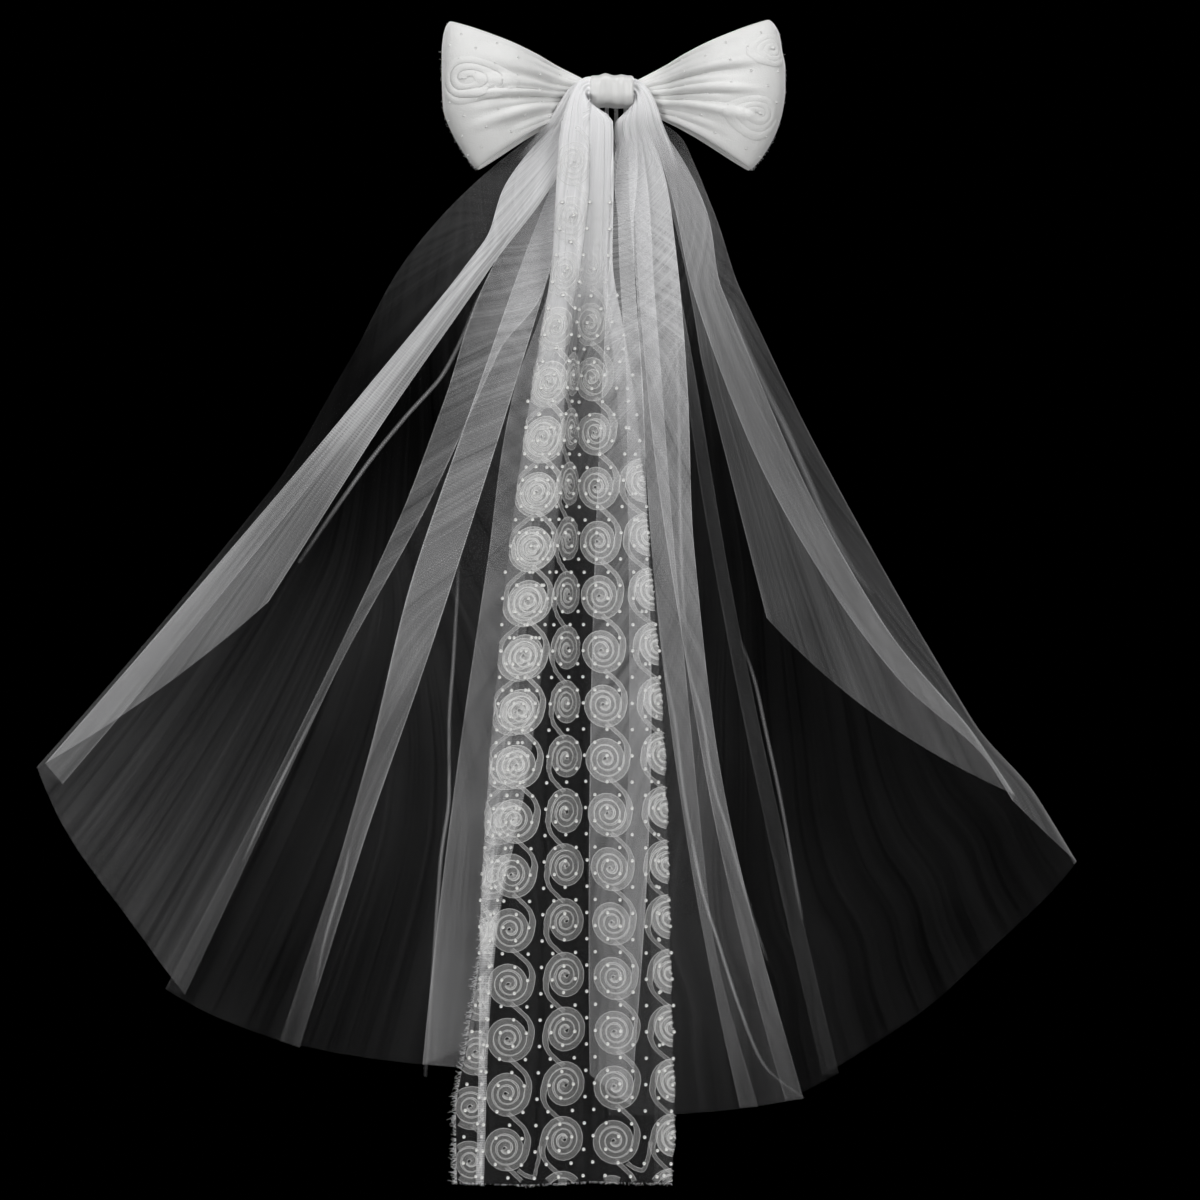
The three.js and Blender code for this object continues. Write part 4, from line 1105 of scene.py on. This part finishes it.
# The loose threads of a raw edge: their thickness, how they bend and curl as shares of their length, and
# how long they are along the cut edge and on the bow, as shares of those down the side
THREAD_RADIUS = 0.1 * MM
THREAD_BEND = 0.35
THREAD_CURL = 0.12
HEM_THREADS = 0.4
BOW_THREADS = 0.5
# How many stand along the lace's side, along its cut edge and on each end of the bow
SIDE_COUNT = 560
HEM_COUNT = 260
BOW_COUNT = 260
# The lowest share of the lace's side that is frayed
FRAYED = 0.33


def add_thread(parts, start, way, length, draw):
    """A thin curly thread."""
    bend = Vector([draw.uniform(-1, 1) for _ in range(3)])
    curl = Vector([draw.uniform(-1, 1) for _ in range(3)])
    rows = []
    for i in range(6):
        share = i / 5
        middle = start + way * length * share + bend * length * THREAD_BEND * share**2
        middle += curl * length * THREAD_CURL * math.sin(share * 5)
        radius = THREAD_RADIUS * (1 - 0.4 * share)
        corners = [(math.cos(t), math.sin(t)) for t in (0, 2.1, 4.2)]
        rows.append([(middle + Vector((c * radius, s * radius * 0.5, s * radius)),) for c, s in corners])
    parts.add_rows(rows, closed=True)


def add_lace_threads(material, longest):
    """The frayed threads of the lace's raw edges."""
    parts = Parts()
    draw = random.Random(SEED)
    for _ in range(SIDE_COUNT):
        down = LACE_DROP * (1 - FRAYED * draw.random() ** 1.3)
        start = lace_point(down, 0.3 * MM, 0)
        way = Vector((-1, draw.uniform(-0.3, 0.3), draw.uniform(-1, 0.8))).normalized()
        add_thread(parts, start, way, longest * draw.uniform(0.3, 1) ** 1.3, draw)
    length = section_at(LACE_DROP).lengths[-1]
    for _ in range(HEM_COUNT):
        start = lace_point(LACE_DROP, length * draw.random(), 0)
        way = Vector((draw.uniform(-0.8, 0.8), draw.uniform(-0.4, 0.4), -1)).normalized()
        add_thread(parts, start, way, longest * HEM_THREADS * draw.uniform(0.2, 1), draw)
    return parts.piece("frayed_threads", material, "lace_net")


# The bunched top of the lace from the knot outwards: the left and the right end of each section (across
# and up from the knot's middle, in millimetres), how far it bows forward and is deep, as shares of the
# lace's, and how much it covers
LACE_BUNCH = (
    ((4, 8.4), (4, -8.4), 0, 1, 0.95),
    ((-14.4, 8.4), (-14.4, -8.4), 0, 1, 0.95),
    ((-22, 4), (-12.4, -11.6), 0.5, 1, 0.9),
    ((-27.5, -7), (-7, -14.5), 0.7, 1, 0.9),
    ((-31.5, -21), (0.4, -21.5), 0.8, 1, 0.85),
    ((-34, -35), (1.2, -35), 0.85, 1.1, 0.75),
    ((-36, -70), (0, -70), 0.85, 1.2, 0.5),
    ((-37, -105), (-2, -105), 0.8, 1.2, 0.3),
    ((-40, -150), (-2, -150), 0.5, 1.1, 0),
)


def add_lace_gathers(material):
    """The lace drawn through the knot, and its bunched top."""
    parts = Parts("turn", "down", "cover")
    depth = LACE_NECK_DEPTH / 2
    bunches = [
        bunch_between(left, right, LACE_FRONT + depth - LACE_BULGE * forward, depth * deep, cover)
        for left, right, forward, deep, cover in LACE_BUNCH
    ]
    add_bunch(parts, bunches)
    return parts.piece("lace_gathers", material, "lace_net")


# The bow's cloth: rows along each loop and points across it, the small creases that run from the knot,
# as (place from the top edge, width, depth in millimetres, where they end along the loop)
LOOP_ROWS = 56
LOOP_POINTS = 64
Pucker = namedtuple("Pucker", "place width depth end")
LEFT_PUCKERS = (
    Pucker(0.16, 0.0425, 2.1, 0.75),
    Pucker(0.3, 0.034, 2.3, 0.6),
    Pucker(0.44, 0.0255, 3.1, 0.85),
    Pucker(0.56, 0.0213, 4.2, 0.98),
    Pucker(0.67, 0.0255, 2.9, 0.9),
    Pucker(0.78, 0.0255, 2.6, 0.98),
    Pucker(0.9, 0.0255, 2.1, 0.7),
)
RIGHT_PUCKERS = (
    Pucker(0.14, 0.034, 1.8, 0.6),
    Pucker(0.32, 0.034, 2.9, 0.98),
    Pucker(0.44, 0.0255, 2.9, 0.7),
    Pucker(0.53, 0.0213, 3.9, 0.9),
    Pucker(0.62, 0.0255, 3.1, 0.75),
    Pucker(0.73, 0.0255, 3.1, 0.98),
    Pucker(0.86, 0.0255, 2.1, 0.8),
)


# A loop of the bow: its side, its lines from the top to the bottom, and its small creases
Loop = namedtuple("Loop", "side lines puckers")
LEFT_LOOP = Loop(-1, LEFT_LINES, LEFT_PUCKERS)
RIGHT_LOOP = Loop(1, RIGHT_LINES, RIGHT_PUCKERS)
# How much of its depth a loop keeps at its top and bottom edges; where the long creases end; how far out a
# small crease is whole, where it starts to fade, and how deep it is on the back
EDGE_DEPTH = 0.62
LAST_CREASE = 0.8
PUCKER_WHOLE = (0.02, 0.2)
PUCKER_FADES = 0.6
PUCKER_BACK = 0.7
# How thin the cloth is drawn together at its edges, and how fast it is whole
ROLLED_EDGE = 0.08
EDGE_ROUNDING = 22


def loop_middle(loop, way, v):
    """A point in the middle of a loop's cloth: from the knot (0) round its end (1) and back (2), and from
    its top edge to its bottom edge."""
    sign = -1 if way <= 1 else 1
    place = (way if way <= 1 else 2 - way) * (len(LOOP_STATIONS) - 1)
    in_knot, out, half, middle = numbers_at(LOOP_STATIONS, place)
    length, height, sag, crease = numbers_at(loop.lines, v * (len(loop.lines) - 1))
    edge = NECK_HALF_HEIGHT - LOOP_WALL / 2
    neck_half = (NECK_WALLS - LOOP_WALL) / 2 - CLEARANCE / 2
    full_half = (LOOP_DEPTH - LOOP_WALL) / 2 * mix(1, EDGE_DEPTH, abs(2 * v - 1) ** 2)
    fold = crease * math.sin(min(out / LAST_CREASE, 1) * math.pi) * LOOP_CREASE
    for pucker in loop.puckers:
        near = math.exp(-(((v - pucker.place) / pucker.width) ** 2))
        swell = smoothstep(out, *PUCKER_WHOLE) * (1 - smoothstep(out, pucker.end * PUCKER_FADES, pucker.end))
        fold -= near * swell * pucker.depth * MM * (1 if sign < 0 else PUCKER_BACK)
    return Vector((
        loop.side * (mix(CLEARANCE, KNOT_SIDE, in_knot) + LOOP_LENGTH * length * out),
        mix(LOOP_MIDDLE, LOOP_MIDDLE_OUT, middle) + sign * (mix(neck_half, full_half, half) - fold),
        mix(mix(edge, -edge, v), LOOP_HEIGHT * height, out) + math.sin(out * math.pi) * sag * LOOP_HEIGHT,
    ))


def add_loop(name, loop, material):
    """One padded loop of the bow: its cloth's two faces, drawn together at its rolled edges."""
    rows, columns = range(LOOP_ROWS + 1), range(LOOP_POINTS + 1)
    grid = [[loop_middle(loop, 2 * i / LOOP_ROWS, j / LOOP_POINTS) for j in columns] for i in rows]
    parts = Parts()
    tube = []
    for i in rows:
        outer = []
        inner = []
        for j in columns:
            down = grid[min(i + 1, LOOP_ROWS)][j] - grid[max(i - 1, 0)][j]
            over = grid[i][min(j + 1, LOOP_POINTS)] - grid[i][max(j - 1, 0)]
            normal = down.cross(over).normalized() * -loop.side
            edge = min(j, LOOP_POINTS - j) / LOOP_POINTS
            half = LOOP_WALL / 2 * math.sqrt(min(1, ROLLED_EDGE + edge * EDGE_ROUNDING))
            outer.append((grid[i][j] + normal * half,))
            inner.append((grid[i][j] - normal * half,))
        tube.append(outer + inner[::-1])
    parts.add_rows(tube, closed=True)
    piece = parts.piece(name, material, "bow_cloth")
    return piece


def bow_place(loop, way, v, lift):
    """A point raised from the cloth of a loop."""
    here = loop_middle(loop, way, v)
    down = loop_middle(loop, way + 0.01, v) - here
    over = loop_middle(loop, way, v + 0.01) - here
    return here + (down.cross(over).normalized() * -loop.side) * (LOOP_WALL / 2 + lift)


# The swirls of raised ribbon on the bow, each by its place along the loop and from its top edge, and its
# size beside a rosette; their turns, where they start and end in shares of that, how wide and how round
# the ribbon is, and how much of the loop's length and height the cloth has there
Swirl = namedtuple("Swirl", "loop way v size")
SWIRLS = (
    Swirl(LEFT_LOOP, 0.7, 0.44, 1.0),
    Swirl(RIGHT_LOOP, 0.8, 0.24, 0.66),
    Swirl(RIGHT_LOOP, 0.72, 0.7, 0.72),
)
SWIRL_TURNS = 3
SWIRL_STEPS = 90
SWIRL_REACH = (0.86, 0.12)
SWIRL_WIDTH = 0.4
SWIRL_LIFT = 0.25 * MM
SWIRL_ROUNDING = 0.5 * MM
SWIRL_CLOTH = (0.7, 0.8)


def add_bow_trim(material, width):
    """The faint raised swirls of ribbon under the bow's cloth."""
    parts = Parts()
    for loop, way, v, size in SWIRLS:
        rows = []
        for i in range(SWIRL_STEPS + 1):
            turn = 2 * math.pi * SWIRL_TURNS * i / SWIRL_STEPS
            radius = ROSETTE_RADIUS * size * mix(*SWIRL_REACH, i / SWIRL_STEPS)
            row = []
            for share, _ in RIBBON_ACROSS:
                reach = radius + share * width * SWIRL_WIDTH
                down = reach * math.cos(turn) / (LOOP_LENGTH * SWIRL_CLOTH[0])
                over = reach * math.sin(turn) / (LOOP_HEIGHT * SWIRL_CLOTH[1])
                lift = SWIRL_LIFT + SWIRL_ROUNDING * (1 - share * share)
                row.append((bow_place(loop, way + down, v + over, lift),))
            rows.append(row)
        parts.add_rows(rows)
    return parts.piece("bow_swirls", material, "bow_cloth")


def add_bow_dots(material, radius):
    """The small dots of the bow's cloth."""
    parts = Parts()
    points, faces = ball(radius * 0.7)
    for loop in (LEFT_LOOP, RIGHT_LOOP):
        for i in range(4, 12):
            for j in range(2 - i % 2, 10, 2):
                for way in (i / 12, 2 - i / 12):
                    parts.add_copy(points, faces, bow_place(loop, way, j / 10, 0))
    return parts.piece("bow_dots", material, "bow_cloth")


def add_bow_threads(material, longest):
    """The fuzz along the outer ends of the bow."""
    parts = Parts()
    draw = random.Random(SEED + 1)
    for loop in (LEFT_LOOP, RIGHT_LOOP):
        for _ in range(BOW_COUNT):
            v = draw.choice((draw.random(), draw.uniform(0.78, 1)))
            start = loop_middle(loop, draw.uniform(0.96, 1.04), v)
            start.x += loop.side * LOOP_WALL * 0.35
            way = Vector((loop.side, draw.uniform(-1, 1), draw.uniform(-0.8, 0.8))).normalized()
            add_thread(parts, start, way, longest * BOW_THREADS * draw.uniform(0.2, 1) ** 1.5, draw)
    return parts.piece("bow_threads", material, "bow_cloth")


# The pleats of the satin band: across it, from its left edge, as (place, width, height in millimetres),
# and how far each swings to the side on its way round the front
Pleat = namedtuple("Pleat", "place width height swing")
KNOT_PLEATS = (
    Pleat(0.24, 0.1, 0.7, 0.1),
    Pleat(0.5, 0.12, 0.8, -0.12),
    Pleat(0.78, 0.09, 0.7, -0.06),
)
KNOT_AROUND = 120
KNOT_ACROSS = 48
# Its outline from the side, a power from a box (0) to an ellipse (1); how far the satin between the pleats
# lies inside the band, how its rims are rounded, and how deep and high its inner face is beside the outer
KNOT_ROUNDING = 0.55
KNOT_INSET = 1.1
RIM_DROP = 0.7
RIM_ROUNDING = 16
KNOT_INNER = (0.94, 0.9)


def add_knot(material):
    """The satin band round the neck of the bow, drawn into soft pleats."""
    middle = (KNOT_LOW + KNOT_HIGH) / 2
    size = (KNOT_HIGH - KNOT_LOW) / 2
    rows = []
    for i in range(KNOT_ACROSS + 1):
        share = i / KNOT_ACROSS
        rim = math.sqrt(min(1, min(share, 1 - share) * RIM_ROUNDING))
        row = []
        for j in range(KNOT_AROUND):
            turn = 2 * math.pi * j / KNOT_AROUND
            c, s = math.cos(turn), math.sin(turn)
            round_c, round_s = (math.copysign(abs(value) ** KNOT_ROUNDING, value) for value in (c, s))
            raised = 0.0
            for pleat in KNOT_PLEATS:
                near = (share - pleat.place - pleat.swing * s) / pleat.width
                raised += pleat.height * math.exp(-near * near)
            inset = (KNOT_INSET - raised) * MM + KNOT_WALL * RIM_DROP * (1 - rim)
            row.append((Vector((
                mix(KNOT_LOW.x, KNOT_HIGH.x, share),
                middle.y - round_c * (size.y - inset),
                middle.z + round_s * (size.z - inset),
            )),))
        rows.append(row)
    deep, high = KNOT_INNER
    inner = [
        [
            (Vector((p.x, middle.y + (p.y - middle.y) * deep, middle.z + (p.z - middle.z) * high)),)
            for (p,) in row
        ]
        for row in (rows[-1], rows[0])
    ]
    parts = Parts()
    parts.add_rows([*rows, *inner, rows[0]], closed=True)
    return parts.piece("knot_satin", material, "satin")


# The camera stands level with the middle of the veil and sees this width of it
CAMERA_AIM = Vector((-7.5 * MM, 0, -328 * MM))
CAMERA_DISTANCE = 2.6
SEEN_WIDTH = 0.78
SENSOR_WIDTH = 36
FLOOR_RADIUS = 0.75
FLOOR_DROP = 0.88
FLOOR_SIDES = 96

# The soft lights of the studio: place, size and power; each is turned to the middle of the veil
StudioLight = namedtuple("StudioLight", "name place size power")
STUDIO_LIGHTS = (
    StudioLight("front_left_light", (-1.5, -2.2, 0.9), 1.4, 40),
    StudioLight("front_right_light", (1.5, -2.2, 0.5), 1.4, 34),
    StudioLight("top_light", (0, -0.7, 1.7), 1.0, 12),
    StudioLight("back_left_light", (-1.3, 1.9, 0.9), 1.2, 26),
    StudioLight("back_right_light", (1.3, 1.9, 0.9), 1.2, 26),
)
TRANSPARENT_LAYERS = 96


def add_floor(material):
    """A plain pale floor well below the veil."""
    ring = []
    for i in range(FLOOR_SIDES):
        turn = 2 * math.pi * i / FLOOR_SIDES
        ring.append(Vector((math.cos(turn), math.sin(turn), 0)) * FLOOR_RADIUS)
    mesh = bpy.data.meshes.new("stage_floor")
    mesh.from_pydata([tuple(point) for point in ring], [], [tuple(range(FLOOR_SIDES))])
    mesh.materials.append(material)
    floor = bpy.data.objects.new("stage_floor", mesh)
    floor.location = (CAMERA_AIM.x, 0, -FLOOR_DROP)
    bpy.context.scene.collection.objects.link(floor)


def turned_to(place, target):
    return (target - Vector(place)).to_track_quat("-Z", "Y").to_euler()


def add_lights():
    for light in STUDIO_LIGHTS:
        lamp = bpy.data.lights.new(light.name, "AREA")
        lamp.shape = "DISK"
        lamp.size = light.size
        lamp.energy = light.power
        lit = bpy.data.objects.new(light.name, lamp)
        lit.location = light.place
        lit.rotation_euler = turned_to(light.place, CAMERA_AIM)
        bpy.context.scene.collection.objects.link(lit)


def add_camera():
    lens = bpy.data.cameras.new("camera")
    lens.sensor_width = SENSOR_WIDTH
    lens.lens = SENSOR_WIDTH * CAMERA_DISTANCE / SEEN_WIDTH
    camera = bpy.data.objects.new("camera", lens)
    camera.location = CAMERA_AIM + Vector((0, -CAMERA_DISTANCE, 0))
    camera.rotation_euler = turned_to(camera.location, CAMERA_AIM)
    bpy.context.scene.collection.objects.link(camera)
    bpy.context.scene.camera = camera


def add_dark_room():
    """A black backdrop, and enough see-through layers for the folded net."""
    scene = bpy.context.scene
    world = bpy.data.worlds.new("dark_room")
    world.use_nodes = True
    world.node_tree.nodes["Background"].inputs["Color"].default_value = (0, 0, 0, 1)
    scene.world = world
    scene.view_settings.view_transform = "Standard"
    scene.cycles.transparent_max_bounces = TRANSPARENT_LAYERS


def shade_choice(name, description, default):
    return bpy.props.FloatVectorProperty(
        name=name,
        description=description,
        subtype="COLOR",
        min=0,
        max=1,
        default=default,
    )


class VeilColours(bpy.types.PropertyGroup):
    """The colours of the veil's cloths and of the stage."""

    tulle: shade_choice("Tulle", "Colour of the sheer net", (0.88, 0.88, 0.89))
    lace: shade_choice("Lace", "Colour of the lace's net and its threads", (0.88, 0.88, 0.89))
    ribbon: shade_choice("Ribbon", "Colour of the sheer ribbon", (0.9, 0.9, 0.89))
    bow: shade_choice("Bow", "Colour of the padded bow", (0.82, 0.82, 0.81))
    satin: shade_choice("Satin", "Colour of the band round the knot", (0.76, 0.76, 0.75))
    pearl: shade_choice("Pearl dots", "Colour of the small dots on the lace", (0.92, 0.92, 0.9))
    comb: shade_choice("Comb", "Colour of the plastic comb", (0.85, 0.85, 0.85))
    floor: shade_choice("Floor", "Colour of the floor", (0.62, 0.62, 0.61))


def length_choice(name, description, default, most):
    return bpy.props.FloatProperty(
        name=name,
        description=description,
        subtype="DISTANCE",
        unit="LENGTH",
        precision=4,
        min=default / 4,
        max=most,
        default=default,
    )


class VeilSizes(bpy.types.PropertyGroup):
    """The sizes of the veil's trimmings that can be changed by themselves."""

    ribbon: length_choice("Ribbon width", "Width of the sheer ribbon of the rosettes", 4.7 * MM, 8 * MM)
    dots: length_choice("Dot radius", "Radius of the pearl dots on the lace", 1.2 * MM, 2.5 * MM)
    threads: length_choice("Fringe", "Longest loose thread at the lace's raw side", 4.5 * MM, 12 * MM)
    ripple: length_choice("Ripple", "Height of the small ripples of the tulle", 0.45 * MM, 1.5 * MM)


class VeilPiece(bpy.types.Operator):
    """Shared by the operators that build the veil."""

    bl_options = {"REGISTER", "UNDO"}

    def execute(self, context):
        self.build(context.scene.veil_colours, context.scene.veil_sizes)
        return {"FINISHED"}


class VEIL_OT_tulle(VeilPiece):
    """Build the two falls of the tulle, its gathers in the knot and the painted highlight lines along its
    folds
    """

    bl_idname = "veil.tulle"
    bl_label = "Tulle"

    def build(self, look, size):
        material = tulle_material(look)
        left = add_fall("veil_left_fall", LEFT_FALL, material, size.ripple)
        right = add_fall("veil_right_fall", RIGHT_FALL, material, size.ripple)
        gathers = add_gathers(material)
        # painted highlight lines along the folds of the tulle
        crease_highlights = add_crease_highlights(material)
        for piece in (left, right, gathers):
            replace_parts(piece, "veil_tulle")


class VEIL_OT_lace(VeilPiece):
    """Build the lace panel with its rosettes, pearl dots and frayed threads"""

    bl_idname = "veil.lace"
    bl_label = "Lace panel"

    def build(self, look, size):
        ground = lace_material(look)
        ribbon = organza_material(look)
        cloth = add_lace_net(ground)
        gathers = add_lace_gathers(ground)
        columns = [add_rosettes(column, ribbon, size.ribbon) for column in COLUMNS]
        for number in (1, 2, 3, 4):
            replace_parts(columns[number], f"rosette_column_{number}")
        turns = add_ribbon_turns(ribbon, size.ribbon)
        dots = add_dots(pearl_material(look), size.dots)
        threads = add_lace_threads(thread_material(look), size.threads)
        for piece in (cloth, gathers):
            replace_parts(piece, "lace_panel")


class VEIL_OT_bow(VeilPiece):
    """Build the padded bow, with its raised swirls, dots and fuzzy ends"""

    bl_idname = "veil.bow"
    bl_label = "Bow"

    def build(self, look, size):
        cloth = bow_material(look)
        left = add_loop("bow_left", LEFT_LOOP, cloth)
        right = add_loop("bow_right", RIGHT_LOOP, cloth)
        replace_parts(left, "bow_left_loop")
        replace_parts(right, "bow_right_loop")
        add_bow_trim(cloth, size.ribbon)
        add_bow_dots(cloth, size.dots)
        add_bow_threads(thread_material(look), size.threads)


class VEIL_OT_knot(VeilPiece):
    """Build the pleated satin band round the knot"""

    bl_idname = "veil.knot"
    bl_label = "Satin knot"

    def build(self, look, size):
        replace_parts(add_knot(satin_material(look)), "knot_band")


class VEIL_OT_comb(VeilPiece):
    """Give the hair comb its moulded plastic"""

    bl_idname = "veil.comb"
    bl_label = "Hair comb"

    def build(self, look, size):
        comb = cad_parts["hair_comb"]
        comb.data.materials.clear()
        comb.data.materials.append(comb_material(look))


class VEIL_OT_stage(VeilPiece):
    """Build the floor, the soft lights, the dark backdrop and the camera"""

    bl_idname = "veil.stage"
    bl_label = "Stage"

    def build(self, look, size):
        add_floor(floor_material(look))
        add_lights()
        add_dark_room()
        add_camera()


PIECES = (VEIL_OT_stage, VEIL_OT_tulle, VEIL_OT_lace, VEIL_OT_bow, VEIL_OT_knot, VEIL_OT_comb)


class VIEW3D_PT_veil(bpy.types.Panel):
    """The veil's sizes and colours, and the buttons that build its pieces."""

    bl_idname = "VIEW3D_PT_veil"
    bl_label = "Bridal veil"
    bl_space_type = "VIEW_3D"
    bl_region_type = "UI"
    bl_category = "Veil"

    def draw(self, context):
        for group, kind in ((context.scene.veil_sizes, VeilSizes), (context.scene.veil_colours, VeilColours)):
            for name in kind.__annotations__:
                self.layout.prop(group, name)
        for piece in PIECES:
            self.layout.operator(piece.bl_idname)


CLASSES = (VeilColours, VeilSizes, *PIECES, VIEW3D_PT_veil)


def register():
    for kind in CLASSES:
        bpy.utils.register_class(kind)
    bpy.types.Scene.veil_colours = bpy.props.PointerProperty(type=VeilColours)
    bpy.types.Scene.veil_sizes = bpy.props.PointerProperty(type=VeilSizes)


def unregister():
    del bpy.types.Scene.veil_sizes
    del bpy.types.Scene.veil_colours
    for kind in reversed(CLASSES):
        bpy.utils.unregister_class(kind)


def main():
    register()
    for piece in PIECES:
        group, name = piece.bl_idname.split(".")
        getattr(getattr(bpy.ops, group), name)()


if __name__ == "__main__":
    main()
